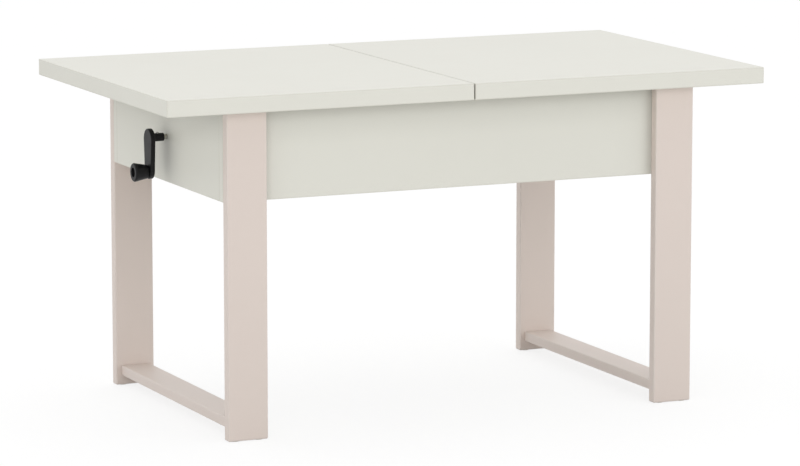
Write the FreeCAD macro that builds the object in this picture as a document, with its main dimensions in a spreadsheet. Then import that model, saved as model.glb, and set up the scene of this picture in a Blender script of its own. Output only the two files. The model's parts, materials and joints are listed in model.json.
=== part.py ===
import FreeCAD, Part

import math
import os
import re

import Sketcher
from FreeCAD import Vector

# Extending coffee table with a crank lift. X runs along the length, the crank is at the left end (-X),
# the front is -Y, Z is up, and the origin is on the floor under the middle of the top.
# The top is drawn lowered and closed. All sizes are millimetres.

SIZES = {
    # top in two halves, and the insert leaf kept under it, turned a quarter
    "top_length": 1100,
    "top_width": 625,
    "top_thick": 28,
    "table_height": 582,
    "split_gap": 2.2,
    "top_clear": 3,
    "slab_round": 1.2,
    "leaf_play": 1,
    "leaf_rail_gap": 2,
    # leg frame, its legs set in from the long edges of the top
    "frame_length": 864,
    "side_overhang": 36.5,
    "leg_width": 71,
    "leg_thick": 19,
    "leg_round": 2.2,
    "apron_height": 151,
    "apron_thick": 16,
    "apron_round": 0.8,
    "stretcher_width": 53,
    "stretcher_thick": 18,
    "stretcher_lift": 18,
    "glide_thick": 1,
    "glide_dia": 14,
    "glide_spacing": 42,
    "corner_side": 24,
    "corner_height": 84,
    "corner_inset": 8,
    # joinery
    "dowel_dia": 8,
    "dowel_depth": 14,
    "dowel_reach": 11,
    "top_dowel_spacing": 200,
    "stretcher_dowel_spacing": 28,
    "bolt_dia": 6,
    "bolt_head_dia": 14,
    "bolt_head_thick": 4,
    "bolt_bite": 12,
    "bolt_spacing": 43,
    "bolt_from_end": 50,
    "screw_dia": 4,
    "screw_head_dia": 8.5,
    "screw_head_thick": 2.5,
    "screw_bite": 12,
    "screw_well_dia": 9.5,
    "screw_well_depth": 5,
    "hole_play": 0.1,
    "dowel_play": 0.3,
    # scissor lift
    "crank_drop": 104.5,
    "lift_height": 185,
    "arm_length": 360,
    "arm_width": 22,
    "arm_thick": 5,
    "arm_gap": 1,
    "arm_inset": 4,
    "arm_round": 0.7,
    "pivot_dia": 10,
    "boss_dia": 16,
    "rivet_head_dia": 15,
    "rivet_head_thick": 2.5,
    "rivet_tail_dia": 8,
    "rivet_play": 0.5,
    "tie_dia": 16,
    "tie_a_distance": 92,
    "tie_b_distance": 60,
    "channel_height": 26,
    "channel_depth": 16,
    "channel_wall": 2.5,
    "base_channel_spare": 40,
    "channel_end": 15,
    "lift_play": 2,
    "glide_width": 10,
    "glide_lip_gap": 0.8,
    "glide_play": 0.3,
    "glide_head_dia": 14,
    "glide_head_thick": 2,
    "cross_width": 30,
    "cross_height": 14,
    "cross_wall": 2,
    "cross_inset": 16,
    "cross_setback": 30,
    # runners under the halves
    "rail_end_gap": 16,
    "rail_width": 34,
    "rail_gap": 1,
    "rail_wall": 3.5,
    "rail_floor": 4,
    "rail_lip": 3,
    "rail_slot": 16,
    "cap_thick": 3,
    "runner_length": 178,
    "runner_start": 12,
    "slide_play": 0.3,
    # lead screw and its bearing
    "thread_dia": 14,
    "journal_dia": 12,
    "shaft_dia": 8,
    "running_fit": 0.05,
    "block_thick": 18,
    "block_width": 64,
    "block_height": 60,
    "block_screw_y": 24,
    "block_screw_z": 22,
    "bush_dia": 20,
    "bush_flange_dia": 28,
    "bush_flange_thick": 2,
    "collar_dia": 26,
    "collar_thick": 10,
    "collar_play": 0.3,
    "stop_gap": 6,
    "stop_thick": 8,
    "stop_dia": 24,
    "nut_length": 40,
    "nut_width": 40,
    "nut_height": 36,
    "nut_socket": 8.5,
    # crank
    "panel_hole_dia": 10,
    "hub_gap": 6,
    "hub_length": 20.5,
    "hub_dia": 14,
    "shaft_in_arm": 3,
    "crank_thick": 8,
    "crank_throw": 58,
    "crank_hub_width": 37,
    "crank_knob_width": 30,
    "crank_head_drop": 3,
    "crank_tip_rise": 2.5,
    "crank_round": 1.5,
    "set_screw_dia": 5,
    "set_screw_proud": 1.5,
    "knob_length": 26,
    "knob_small_dia": 23,
    "knob_large_dia": 33,
    "knob_gap": 0.5,
    "knob_round": 2.5,
    "knob_bolt_dia": 8,
    "knob_head_dia": 13,
    "knob_head_thick": 4,
    "knob_recess_dia": 17,
    "knob_recess_depth": 11,
}

# Heights and distances that follow from the sizes above. "out" is measured from the table's middle plane.
UNDER_TOP = "(table_height - top_thick)"
CRANK_Z = "(table_height - crank_drop)"
FRAME_TOP = f"({UNDER_TOP} - top_clear)"
APRON_LOW = f"({FRAME_TOP} - apron_height)"
FRAME_END = "(frame_length / 2)"
LEG_OUT = "(top_width / 2 - side_overhang)"
APRON_OUT = f"({LEG_OUT} - leg_thick)"
APRON_IN = f"({APRON_OUT} - apron_thick)"
END_IN = f"({FRAME_END} - apron_thick)"
LEG_MID = f"({FRAME_END} - leg_width / 2)"
UPPER_Z = f"({UNDER_TOP} - leaf_play - top_thick - cross_height / 2)"
RISE = f"({UPPER_Z} - {CRANK_Z})"
PIVOT_X = "(arm_length / 2)"
BASE_HALF = f"({PIVOT_X} + base_channel_spare)"
RUN = f"sqrt(arm_length ^ 2 - {RISE} ^ 2)"
SLIDE_X = f"({PIVOT_X} - {RUN})"
NUT_END = f"({PIVOT_X} - sqrt(arm_length ^ 2 - ({RISE} + lift_height) ^ 2) + nut_length / 2)"
SCREW_END = f"({NUT_END} + stop_gap + stop_thick)"
RAIL_LOW = f"({UPPER_Z} + channel_height / 2)"
RAIL_HEIGHT = f"({UNDER_TOP} - rail_gap - {RAIL_LOW})"
RAIL_OUT = f"({APRON_IN} - lift_play)"
RAIL_MID = f"({RAIL_OUT} - rail_width / 2)"
RAIL_HALF = f"({END_IN} - rail_end_gap)"
LEAF_OUT = f"({RAIL_OUT} - rail_width - leaf_rail_gap - dowel_reach)"
CROSS_FAR = "(top_width / 2 - cross_setback)"
UPPER_HALF = f"({CROSS_FAR} + cross_inset)"
BASE_LIP = f"({APRON_IN} - channel_depth)"
BASE_WEB = f"({APRON_IN} - channel_wall)"
UPPER_LIP = f"({RAIL_OUT} - channel_depth)"
UPPER_WEB = f"({RAIL_OUT} - channel_wall)"
ARM_B_OUT = f"({UPPER_LIP} - arm_inset)"
ARM_B_IN = f"({ARM_B_OUT} - arm_thick)"
ARM_A_OUT = f"({ARM_B_IN} - arm_gap)"
ARM_A_IN = f"({ARM_A_OUT} - arm_thick)"
HALF_LENGTH = "((top_length - split_gap) / 2)"
PANEL_X = f"(-{FRAME_END})"
BLOCK_X = f"(-{END_IN})"
BUSH_END = f"({BLOCK_X} + block_thick + bush_flange_thick)"
COLLAR_X = f"({BUSH_END} + collar_play)"
HUB_X = f"({PANEL_X} - hub_gap)"
ARM_X = f"({HUB_X} - hub_length)"
FACE_X = f"({ARM_X} - crank_thick)"
KNOB_Z = f"({CRANK_Z} - crank_throw)"
KNOB_X = f"({FACE_X} - knob_gap)"

# Any side will do for a sketch as first drawn: its constraints then take the sheet's sizes.
DRAWN = 10

SIDES = {"front": -1, "back": 1}
ENDS = {"left": -1, "right": 1}

doc = FreeCAD.newDocument("extending_coffee_table")
sheet = doc.addObject("Spreadsheet::Sheet", "sizes")
for row, (alias, value) in enumerate(SIZES.items(), 1):
    sheet.set(f"A{row}", alias)
    sheet.set(f"B{row}", str(value))
    sheet.setAlias(f"B{row}", alias)
doc.recompute()

nodes = []


def formula(text):
    """The text with each size written as its cell in the sheet."""
    return re.sub(
        r"[a-z][a-z0-9_]*",
        lambda found: f"sizes.{found.group()}" if found.group() in SIZES else found.group(),
        str(text),
    )


def bind(thing, name, text):
    thing.setExpression(name, formula(text))


def place(thing, start):
    for axis, text in zip("xyz", start):
        bind(thing, f"Placement.Base.{axis}", text)


def node(label, thing):
    """Name a finished piece."""
    thing.Label = label
    nodes.append(thing)
    return thing


def side_low(sign, near, far):
    """The lower coordinate of a stretch from near to far on one side of the middle."""
    return near if sign > 0 else f"-({far})"


def block(start, size):
    """A square-edged solid from its lowest corner and its sides."""
    thing = doc.addObject("Part::Box", "block")
    for name, text in zip(("Length", "Width", "Height"), size):
        bind(thing, name, text)
    place(thing, start)
    return thing


TURNS = {
    "x": FreeCAD.Rotation(Vector(0, 1, 0), 90),
    "y": FreeCAD.Rotation(Vector(1, 0, 0), -90),
    "z": FreeCAD.Rotation(),
}


def rod(axis, start, dia, length):
    """A round solid that starts at a point and runs along +axis."""
    thing = doc.addObject("Part::Cylinder", "rod")
    thing.Placement = FreeCAD.Placement(Vector(), TURNS[axis])
    bind(thing, "Radius", f"({dia}) / 2")
    bind(thing, "Height", length)
    place(thing, start)
    return thing


def out_rod(sign, x, z, dia, near, far):
    """A round solid across the table, from near to far out on one side."""
    return rod("y", (x, side_low(sign, near, far), z), dia, f"({far}) - ({near})")


def fuse(*pieces):
    thing = doc.addObject("Part::MultiFuse", "joined")
    thing.Shapes = list(pieces)
    thing.Refine = True
    return thing


def cut(base, *tools):
    thing = doc.addObject("Part::Cut", "cut")
    thing.Base = base
    thing.Tool = tools[0] if len(tools) == 1 else fuse(*tools)
    return thing


def group(pieces):
    """Separate solids that share one name."""
    thing = doc.addObject("Part::Compound", "group")
    thing.Links = list(pieces)
    return thing


def plane(body, role):
    return next(f for f in body.Origin.OriginFeatures if f.Role == role)


def rectangle(body, width, depth):
    """A sketched rectangle with one corner at the body's origin."""
    sketch = body.newObject("Sketcher::SketchObject", "outline")
    sketch.AttachmentSupport = [(plane(body, "XY_Plane"), "")]
    sketch.MapMode = "FlatFace"
    corners = [Vector(0, 0), Vector(DRAWN, 0), Vector(DRAWN, DRAWN), Vector(0, DRAWN)]
    for i in range(4):
        sketch.addGeometry(Part.LineSegment(corners[i], corners[(i + 1) % 4]))
    for i in range(4):
        kind = "Vertical" if i % 2 else "Horizontal"
        sketch.addConstraint(Sketcher.Constraint("Coincident", i, 2, (i + 1) % 4, 1))
        sketch.addConstraint(Sketcher.Constraint(kind, i))
    sketch.addConstraint(Sketcher.Constraint("Coincident", 0, 1, -1, 1))
    across = sketch.addConstraint(Sketcher.Constraint("DistanceX", 0, 1, 0, 2, DRAWN))
    along = sketch.addConstraint(Sketcher.Constraint("DistanceY", 1, 1, 1, 2, DRAWN))
    bind(sketch, f"Constraints[{across}]", width)
    bind(sketch, f"Constraints[{along}]", depth)
    return sketch


def pad(body, sketch, length):
    feature = body.newObject("PartDesign::Pad", "pad")
    feature.Profile = sketch
    bind(feature, "Length", length)
    return feature


def soften(body, feature, radius):
    """Round every edge of a feature."""
    rounded = body.newObject("PartDesign::Fillet", "edges")
    rounded.Base = (feature, ["Edge1"])
    rounded.UseAllEdges = True
    bind(rounded, "Radius", radius)
    return rounded


def board(start, size, radius):
    """A board with softened edges, from its lowest corner and its sides."""
    body = doc.addObject("PartDesign::Body", "board")
    feature = pad(body, rectangle(body, size[0], size[1]), size[2])
    soften(body, feature, radius)
    place(body, start)
    return body


def link(wide, narrow, length, thick, radius):
    """A flat bar with softened edges and round ends of two widths, up from the XY plane, its wide end at
    the origin."""
    body = doc.addObject("PartDesign::Body", "link")
    sketch = body.newObject("Sketcher::SketchObject", "outline")
    sketch.AttachmentSupport = [(plane(body, "XY_Plane"), "")]
    sketch.MapMode = "FlatFace"
    big, small, reach = 1.2 * DRAWN, DRAWN, 6 * DRAWN
    lean = math.asin((big - small) / reach)
    start_turn = math.pi / 2 - lean
    end_turn = 3 * math.pi / 2 + lean
    up = Vector(0, 0, 1)
    hub = Part.ArcOfCircle(Part.Circle(Vector(0, 0), up, big), start_turn, end_turn)
    tip = Part.ArcOfCircle(Part.Circle(Vector(reach, 0), up, small), end_turn - 2 * math.pi, start_turn)
    sketch.addGeometry(hub)
    sketch.addGeometry(tip)
    sketch.addGeometry(Part.LineSegment(hub.StartPoint, tip.EndPoint))
    sketch.addGeometry(Part.LineSegment(hub.EndPoint, tip.StartPoint))
    sketch.addConstraint(Sketcher.Constraint("Tangent", 0, 1, 2, 1))
    sketch.addConstraint(Sketcher.Constraint("Tangent", 2, 2, 1, 2))
    sketch.addConstraint(Sketcher.Constraint("Tangent", 0, 2, 3, 1))
    sketch.addConstraint(Sketcher.Constraint("Tangent", 3, 2, 1, 1))
    sketch.addConstraint(Sketcher.Constraint("Coincident", 0, 3, -1, 1))
    sketch.addConstraint(Sketcher.Constraint("PointOnObject", 1, 3, -1))
    for index, width in ((0, wide), (1, narrow)):
        number = sketch.addConstraint(Sketcher.Constraint("Radius", index, (big, small)[index]))
        bind(sketch, f"Constraints[{number}]", f"({width}) / 2")
    number = sketch.addConstraint(Sketcher.Constraint("DistanceX", -1, 1, 1, 3, reach))
    bind(sketch, f"Constraints[{number}]", length)
    soften(body, pad(body, sketch, thick), radius)
    return body


# Legs: four flat boards, each with three bolts from inside the apron and two small floor glides.
def leg_bolt_spots(end, side):
    x = f"{end} * ({FRAME_END} - bolt_from_end)"
    for step in (-1, 0, 1):
        yield x, f"({APRON_LOW} + apron_height / 2 + {step} * bolt_spacing)", side


def bolt_holes(end, side):
    dia = "bolt_dia + 2 * hole_play"
    near, far = APRON_IN, f"({APRON_OUT} + bolt_bite + hole_play)"
    return [out_rod(s, x, z, dia, near, far) for x, z, s in leg_bolt_spots(end, side)]


def stretcher_dowel_spots(end):
    for step in (-1, 1):
        yield f"{end} * {LEG_MID} + {step} * stretcher_dowel_spacing / 2"


STRETCHER_Z = "(stretcher_lift + stretcher_thick / 2)"


def stretcher_dowels(end, side, play):
    near = f"({APRON_OUT} - dowel_depth - {play})"
    far = f"({APRON_OUT} + dowel_reach + {play})"
    dia = f"dowel_dia + 2 * {play}"
    return [out_rod(side, x, STRETCHER_Z, dia, near, far) for x in stretcher_dowel_spots(end)]


def make_leg(end_name, end, side_name, side):
    x = side_low(end, f"{FRAME_END} - leg_width", FRAME_END)
    y = side_low(side, APRON_OUT, LEG_OUT)
    size = ("leg_width", "leg_thick", f"{FRAME_TOP} - glide_thick")
    plank = board((x, y, "glide_thick"), size, "leg_round")
    holes = bolt_holes(end, side) + stretcher_dowels(end, side, "hole_play")
    node(f"leg_{side_name}_{end_name}", cut(plank, *holes))


def make_legs():
    bolts, dowels, glides = [], [], []
    for end_name, end in ENDS.items():
        for side_name, side in SIDES.items():
            make_leg(end_name, end, side_name, side)
            for x, z, s in leg_bolt_spots(end, side):
                head_in = f"({APRON_IN} - bolt_head_thick)"
                head = out_rod(s, x, z, "bolt_head_dia", head_in, APRON_IN)
                shank = out_rod(s, x, z, "bolt_dia", APRON_IN, f"({APRON_OUT} + bolt_bite)")
                bolts.append(fuse(head, shank))
            dowels += stretcher_dowels(end, side, "0")
            for step in (-1, 1):
                x = f"{end} * {LEG_MID} + {step} * glide_spacing / 2"
                y = f"{side} * ({APRON_OUT} + leg_thick / 2)"
                glides.append(rod("z", (x, y, "0"), "glide_dia", "glide_thick"))
    node("leg_bolts", group(bolts))
    node("stretcher_dowels", group(dowels))
    node("floor_glides", group(glides))


def make_stretchers():
    for end_name, end in ENDS.items():
        x = f"{end} * {LEG_MID} - stretcher_width / 2"
        size = ("stretcher_width", f"2 * {APRON_OUT}", "stretcher_thick")
        bar = board((x, f"-{APRON_OUT}", "stretcher_lift"), size, "leg_round")
        holes = [h for side in SIDES.values() for h in stretcher_dowels(end, side, "hole_play")]
        node(f"stretcher_{end_name}", cut(bar, *holes))


# Apron box: two long boards behind the legs, two end boards between them, glue blocks in the corners.
def channel_screw_spots():
    for step in (-3, -1, 1, 3):
        yield f"{step} * ({BASE_HALF} - channel_end) / 3"


def channel_screw(side, x, play):
    tip = f"({APRON_IN} + screw_bite + {play})"
    return out_rod(side, x, CRANK_Z, f"screw_dia + 2 * {play}", BASE_WEB, tip)


def make_long_aprons():
    for side_name, side in SIDES.items():
        start = (PANEL_X, side_low(side, APRON_IN, APRON_OUT), APRON_LOW)
        plank = board(start, ("frame_length", "apron_thick", "apron_height"), "apron_round")
        holes = [h for end in ENDS.values() for h in bolt_holes(end, side)]
        holes += [channel_screw(side, x, "hole_play") for x in channel_screw_spots()]
        node(f"apron_{side_name}", cut(plank, *holes))


def block_screw_spots():
    for y in (-1, 1):
        for z in (-1, 1):
            yield f"{y} * block_screw_y", f"{CRANK_Z} + {z} * block_screw_z"


def block_screw(y, z, play):
    start = f"{BLOCK_X} - screw_bite - {play}"
    length = f"screw_bite + block_thick + {play}"
    return rod("x", (start, y, z), f"screw_dia + 2 * {play}", length)


def make_end_aprons():
    for end_name, end in ENDS.items():
        x = side_low(end, END_IN, FRAME_END)
        size = ("apron_thick", f"2 * {APRON_IN}", "apron_height")
        panel = board((x, f"-{APRON_IN}", APRON_LOW), size, "apron_round")
        if end_name == "left":
            shaft_hole = rod("x", (PANEL_X, "0", CRANK_Z), "panel_hole_dia", "apron_thick")
            holes = [block_screw(y, z, "hole_play") for y, z in block_screw_spots()]
            panel = cut(panel, shaft_hole, *holes)
        node(f"apron_{end_name}", panel)


def make_corner_blocks():
    blocks = []
    for end in ENDS.values():
        for side in SIDES.values():
            x = side_low(end, f"{END_IN} - corner_side", END_IN)
            y = side_low(side, f"{APRON_IN} - corner_side", APRON_IN)
            size = ("corner_side", "corner_side", "corner_height")
            blocks.append(board((x, y, f"{APRON_LOW} + corner_inset"), size, "apron_round"))
    node("corner_blocks", group(blocks))


# Steel channels: open towards the middle, so that the scissor's glides run inside them.
def channel(side, lip, web, out, middle, length):
    start = (f"-({length}) / 2", side_low(side, lip, out), f"{middle} - channel_height / 2")
    outside = block(start, (length, "channel_depth", "channel_height"))
    inner_start = (start[0], side_low(side, lip, web), f"{middle} - channel_height / 2 + channel_wall")
    depth = "channel_depth - channel_wall"
    inside = block(inner_start, (length, depth, "channel_height - 2 * channel_wall"))
    return cut(outside, inside)


def pivot_rivet(side, z, arm_in, arm_out, web, out):
    """A stepped rivet: head, journal for the arm, boss up to the channel's web, tail through the web."""
    x = PIVOT_X
    head_far = f"({arm_in} - rivet_play)"
    boss_near = f"({arm_out} + rivet_play)"
    head = out_rod(side, x, z, "rivet_head_dia", f"({head_far} - rivet_head_thick)", head_far)
    journal = out_rod(side, x, z, "pivot_dia", head_far, boss_near)
    boss = out_rod(side, x, z, "boss_dia", boss_near, web)
    tail = out_rod(side, x, z, "rivet_tail_dia", web, out)
    return fuse(head, journal, boss, tail)


def rivet_hole(side, z, web, out):
    dia = "rivet_tail_dia + 2 * hole_play"
    return out_rod(side, PIVOT_X, z, dia, web, out)


def make_base_channels():
    screws, rivets = [], []
    for side_name, side in SIDES.items():
        rail = channel(side, BASE_LIP, BASE_WEB, APRON_IN, CRANK_Z, f"(2 * {BASE_HALF})")
        holes = [channel_screw(side, x, "hole_play") for x in channel_screw_spots()]
        holes.append(rivet_hole(side, CRANK_Z, BASE_WEB, APRON_IN))
        node(f"base_channel_{side_name}", cut(rail, *holes))
        for x in channel_screw_spots():
            head_in = f"({BASE_WEB} - screw_head_thick)"
            head = out_rod(side, x, CRANK_Z, "screw_head_dia", head_in, BASE_WEB)
            screws.append(fuse(head, channel_screw(side, x, "0")))
        rivets.append(pivot_rivet(side, CRANK_Z, ARM_A_IN, ARM_A_OUT, BASE_WEB, APRON_IN))
    node("channel_screws", group(screws))
    node("base_pivot_rivets", group(rivets))


# Scissor arms: pair A turns on the base and slides above, pair B slides below and carries the lift frame.
def arm(side, near, far, lower_x, lean):
    """A flat bar from its lower end, leaning up to the right (1) or left (-1), with three pivot holes."""
    body = link("arm_width", "arm_width", "arm_length", "arm_thick", "arm_round")
    holes = [
        rod("z", (f"{share} * arm_length / 2", "0", "0"), "pivot_dia + 2 * running_fit", "arm_thick")
        for share in (0, 1, 2)
    ]
    bar = cut(body, *holes)
    stand = FreeCAD.Rotation(Vector(1, 0, 0), 90)
    face_about = FreeCAD.Rotation(Vector(0, 0, 1), 0 if lean > 0 else 180)
    upright = group([bar])
    upright.Placement = FreeCAD.Placement(Vector(), face_about.multiply(stand))
    low = side_low(side, near, far)
    bind(upright, "Placement.Base.y", f"{low} + arm_thick" if lean > 0 else low)
    leaning = group([upright])
    leaning.Placement = FreeCAD.Placement(Vector(), FreeCAD.Rotation(Vector(0, -lean, 0), 1))
    bind(leaning, "Placement.Rotation.Angle", f"asin({RISE} / arm_length)")
    place(leaning, (lower_x, "0", CRANK_Z))
    return leaning


def along_a(reach):
    """The point of pair A at a distance from its pivot on the base."""
    x = f"({PIVOT_X} - ({reach}) * {RUN} / arm_length)"
    z = f"({CRANK_Z} + ({reach}) * {RISE} / arm_length)"
    return x, z


def along_b(reach):
    """The point of pair B at a distance from its pivot on the lift frame."""
    x = f"({PIVOT_X} - ({reach}) * {RUN} / arm_length)"
    z = f"({UPPER_Z} - ({reach}) * {RISE} / arm_length)"
    return x, z


def glide(side, x, z, lip):
    """A round nylon glide on its axle, between a channel's flanges."""
    near = f"({lip} + glide_lip_gap)"
    far = f"({near} + glide_width)"
    dia = "channel_height - 2 * channel_wall - 2 * glide_play"
    disc = out_rod(side, x, z, dia, near, far)
    return cut(disc, out_rod(side, x, z, "pivot_dia + 2 * running_fit", near, far))


def glide_axle(side, x, z, arm_out, lip):
    """The axle outside an arm: a collar up to the glide, the journal and a head."""
    near = f"({lip} + glide_lip_gap)"
    far = f"({near} + glide_width)"
    collar = out_rod(side, x, z, "boss_dia", f"({arm_out} + rivet_play)", near)
    journal = out_rod(side, x, z, "pivot_dia", f"({arm_out} - arm_thick - rivet_play)", far)
    head = out_rod(side, x, z, "glide_head_dia", far, f"({far} + glide_head_thick)")
    return [collar, journal, head]


def make_scissor_a():
    rivets, axles, glides = [], [], []
    mid_x, mid_z = along_a("arm_length / 2")
    for side_name, side in SIDES.items():
        bar = arm(side, ARM_A_IN, ARM_A_OUT, PIVOT_X, -1)
        node(f"arm_a_{side_name}", bar)
        inner = f"({ARM_A_IN} - rivet_play)"
        outer = f"({ARM_B_OUT} + rivet_play)"
        shank = out_rod(side, mid_x, mid_z, "pivot_dia", inner, outer)
        inner_head = out_rod(side, mid_x, mid_z, "rivet_head_dia", f"({inner} - rivet_head_thick)", inner)
        outer_head = out_rod(side, mid_x, mid_z, "rivet_head_dia", outer, f"({outer} + rivet_head_thick)")
        rivets.append(fuse(inner_head, shank, outer_head))
        head = out_rod(side, SLIDE_X, UPPER_Z, "rivet_head_dia", f"({inner} - rivet_head_thick)", inner)
        axles.append(fuse(head, *glide_axle(side, SLIDE_X, UPPER_Z, ARM_A_OUT, UPPER_LIP)))
        glides.append(glide(side, SLIDE_X, UPPER_Z, UPPER_LIP))
    node("scissor_rivets", group(rivets))
    node("upper_glide_axles", group(axles))
    node("upper_glides", group(glides))
    x, z = along_a("tie_a_distance")
    node("tie_rod_a", rod("y", (x, f"-{ARM_A_IN}", z), "tie_dia", f"2 * {ARM_A_IN}"))


def make_scissor_b():
    bars, glides = [], []
    for side_name, side in SIDES.items():
        node(f"arm_b_{side_name}", arm(side, ARM_B_IN, ARM_B_OUT, SLIDE_X, 1))
        socket_end = "(nut_width / 2 - nut_socket)"
        shoulder = f"({ARM_B_IN} - rivet_play)"
        thick = out_rod(side, SLIDE_X, CRANK_Z, "boss_dia", socket_end, shoulder)
        bars.append(fuse(thick, *glide_axle(side, SLIDE_X, CRANK_Z, ARM_B_OUT, BASE_LIP)))
        glides.append(glide(side, SLIDE_X, CRANK_Z, BASE_LIP))
    node("nut_bars", group(bars))
    node("lower_glides", group(glides))
    x, z = along_b("tie_b_distance")
    node("tie_rod_b", rod("y", (x, f"-{ARM_B_IN}", z), "tie_dia", f"2 * {ARM_B_IN}"))


# Lift frame: channels, cross tubes, slotted runner rails and the stored leaf.
def rail_screw_spots():
    for step in (-1, 0, 1):
        yield f"{step} * ({CROSS_FAR} + cross_inset / 2)"


RAIL_SCREW_OUT = f"({UPPER_LIP} + channel_depth / 2)"


def rail_screw_hole(side, x):
    start = (x, f"{side} * {RAIL_SCREW_OUT}", f"{RAIL_LOW} - channel_wall")
    return rod("z", start, "screw_dia + 2 * hole_play", "channel_wall + rail_floor")


def rail_screw(side, x):
    y = f"{side} * {RAIL_SCREW_OUT}"
    seat = f"({RAIL_LOW} - channel_wall)"
    head = rod("z", (x, y, f"{seat} - screw_head_thick"), "screw_head_dia", "screw_head_thick")
    shank = rod("z", (x, y, seat), "screw_dia", "channel_wall + rail_floor - hole_play")
    return fuse(head, shank)


def make_upper_channels():
    rivets = []
    for side_name, side in SIDES.items():
        rail = channel(side, UPPER_LIP, UPPER_WEB, RAIL_OUT, UPPER_Z, f"2 * {UPPER_HALF}")
        holes = [rail_screw_hole(side, x) for x in rail_screw_spots()]
        holes.append(rivet_hole(side, UPPER_Z, UPPER_WEB, RAIL_OUT))
        node(f"upper_channel_{side_name}", cut(rail, *holes))
        rivets.append(pivot_rivet(side, UPPER_Z, ARM_B_IN, ARM_B_OUT, UPPER_WEB, RAIL_OUT))
    node("upper_pivot_rivets", group(rivets))


def make_cross_tubes():
    for end_name, end in ENDS.items():
        x = side_low(end, f"({CROSS_FAR} - cross_width)", CROSS_FAR)
        outside = block(
            (x, f"-{UPPER_WEB}", f"{UPPER_Z} - cross_height / 2"),
            ("cross_width", f"2 * {UPPER_WEB}", "cross_height"),
        )
        inside = block(
            (f"{x} + cross_wall", f"-{UPPER_WEB}", f"{UPPER_Z} - cross_height / 2 + cross_wall"),
            ("cross_width - 2 * cross_wall", f"2 * {UPPER_WEB}", "cross_height - 2 * cross_wall"),
        )
        node(f"cross_tube_{end_name}", cut(outside, inside))


def make_runner_rails():
    screws, caps = [], []
    for side_name, side in SIDES.items():
        y = side_low(side, f"({RAIL_OUT} - rail_width)", RAIL_OUT)
        outside = block((f"-{RAIL_HALF}", y, RAIL_LOW), (f"2 * {RAIL_HALF}", "rail_width", RAIL_HEIGHT))
        chamber = block(
            (f"-{RAIL_HALF}", f"{y} + rail_wall", f"{RAIL_LOW} + rail_floor"),
            (f"2 * {RAIL_HALF}", "rail_width - 2 * rail_wall", f"{RAIL_HEIGHT} - rail_floor - rail_lip"),
        )
        slot = block(
            (f"-{RAIL_HALF}", f"{side} * {RAIL_MID} - rail_slot / 2", f"{RAIL_LOW} + rail_floor"),
            (f"2 * {RAIL_HALF}", "rail_slot", f"{RAIL_HEIGHT} - rail_floor"),
        )
        holes = [rail_screw_hole(side, x) for x in rail_screw_spots()]
        node(f"runner_rail_{side_name}", cut(outside, chamber, slot, *holes))
        screws += [rail_screw(side, x) for x in rail_screw_spots()]
        for end in ENDS.values():
            x = side_low(end, RAIL_HALF, f"({RAIL_HALF} + cap_thick)")
            caps.append(block((x, y, RAIL_LOW), ("cap_thick", "rail_width", RAIL_HEIGHT)))
    node("rail_screws", group(screws))
    node("rail_end_caps", group(caps))


LEAF_LOW = f"({UPPER_Z} + cross_height / 2)"
LEAF_MID = f"({LEAF_LOW} + top_thick / 2)"


def edge_dowels(axis, seat, middle, spread, dia, back, ahead):
    """Three dowels or holes in an edge, from back inside it to ahead of it."""
    for step in (-1, 0, 1):
        offset = f"{step} * {spread}"
        start = (f"{seat} - {back}", offset, middle) if axis == "x" else (offset, f"{seat} - {back}", middle)
        yield rod(axis, start, dia, f"{back} + {ahead}")


def make_leaf():
    start = ("-top_width / 2", f"-{LEAF_OUT}", LEAF_LOW)
    slab = board(start, ("top_width", f"2 * {LEAF_OUT}", "top_thick"), "slab_round")
    grip = "dowel_dia + 2 * hole_play"
    loose = "dowel_dia + 2 * dowel_play"
    spread = "top_dowel_spacing"
    glued = edge_dowels("y", LEAF_OUT, LEAF_MID, spread, grip, "dowel_depth", "0")
    open_holes = edge_dowels("y", f"-{LEAF_OUT}", LEAF_MID, spread, loose, "0", "dowel_depth")
    node("insert_leaf", cut(slab, *glued, *open_holes))
    pins = edge_dowels("y", LEAF_OUT, LEAF_MID, spread, "dowel_dia", "dowel_depth", "dowel_reach")
    node("leaf_dowels", group(pins))


# Top halves, each with two slotted-rail runners screwed underneath.
def runner_screw_spots(end):
    for share in (1, 3, 5):
        yield f"{end} * (runner_start + {share} * runner_length / 6)"


RUNNER_LOW = f"({RAIL_LOW} + rail_floor + slide_play)"
RUNNER_SHOULDER = f"({UNDER_TOP} - rail_gap - rail_lip - slide_play)"
SCREW_SEAT = f"({RUNNER_LOW} + screw_well_depth)"


def runner_screw_hole(x, y):
    start = (x, y, SCREW_SEAT)
    length = f"{UNDER_TOP} + screw_bite + hole_play - {SCREW_SEAT}"
    return rod("z", start, "screw_dia + 2 * hole_play", length)


def make_runner(end, side):
    x = side_low(end, "runner_start", "(runner_start + runner_length)")
    y = f"{side} * {RAIL_MID}"
    foot_width = "(rail_width - 2 * rail_wall - 2 * slide_play)"
    neck_width = "(rail_slot - 2 * slide_play)"
    foot = block(
        (x, f"{y} - {foot_width} / 2", RUNNER_LOW),
        ("runner_length", foot_width, f"{RUNNER_SHOULDER} - {RUNNER_LOW}"),
    )
    neck = block(
        (x, f"{y} - {neck_width} / 2", RUNNER_LOW),
        ("runner_length", neck_width, f"{UNDER_TOP} - {RUNNER_LOW}"),
    )
    tools = []
    for spot in runner_screw_spots(end):
        well = (spot, y, RUNNER_LOW)
        tools.append(rod("z", well, "screw_well_dia", "screw_well_depth"))
        tools.append(runner_screw_hole(spot, y))
    return cut(fuse(foot, neck), *tools)


def runner_screw(x, y):
    start = (x, y, f"{SCREW_SEAT} - screw_head_thick")
    head = rod("z", start, "screw_head_dia", "screw_head_thick")
    shank = rod("z", (x, y, SCREW_SEAT), "screw_dia", f"{UNDER_TOP} + screw_bite - {SCREW_SEAT}")
    return fuse(head, shank)


TOP_MID = f"({UNDER_TOP} + top_thick / 2)"


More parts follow.
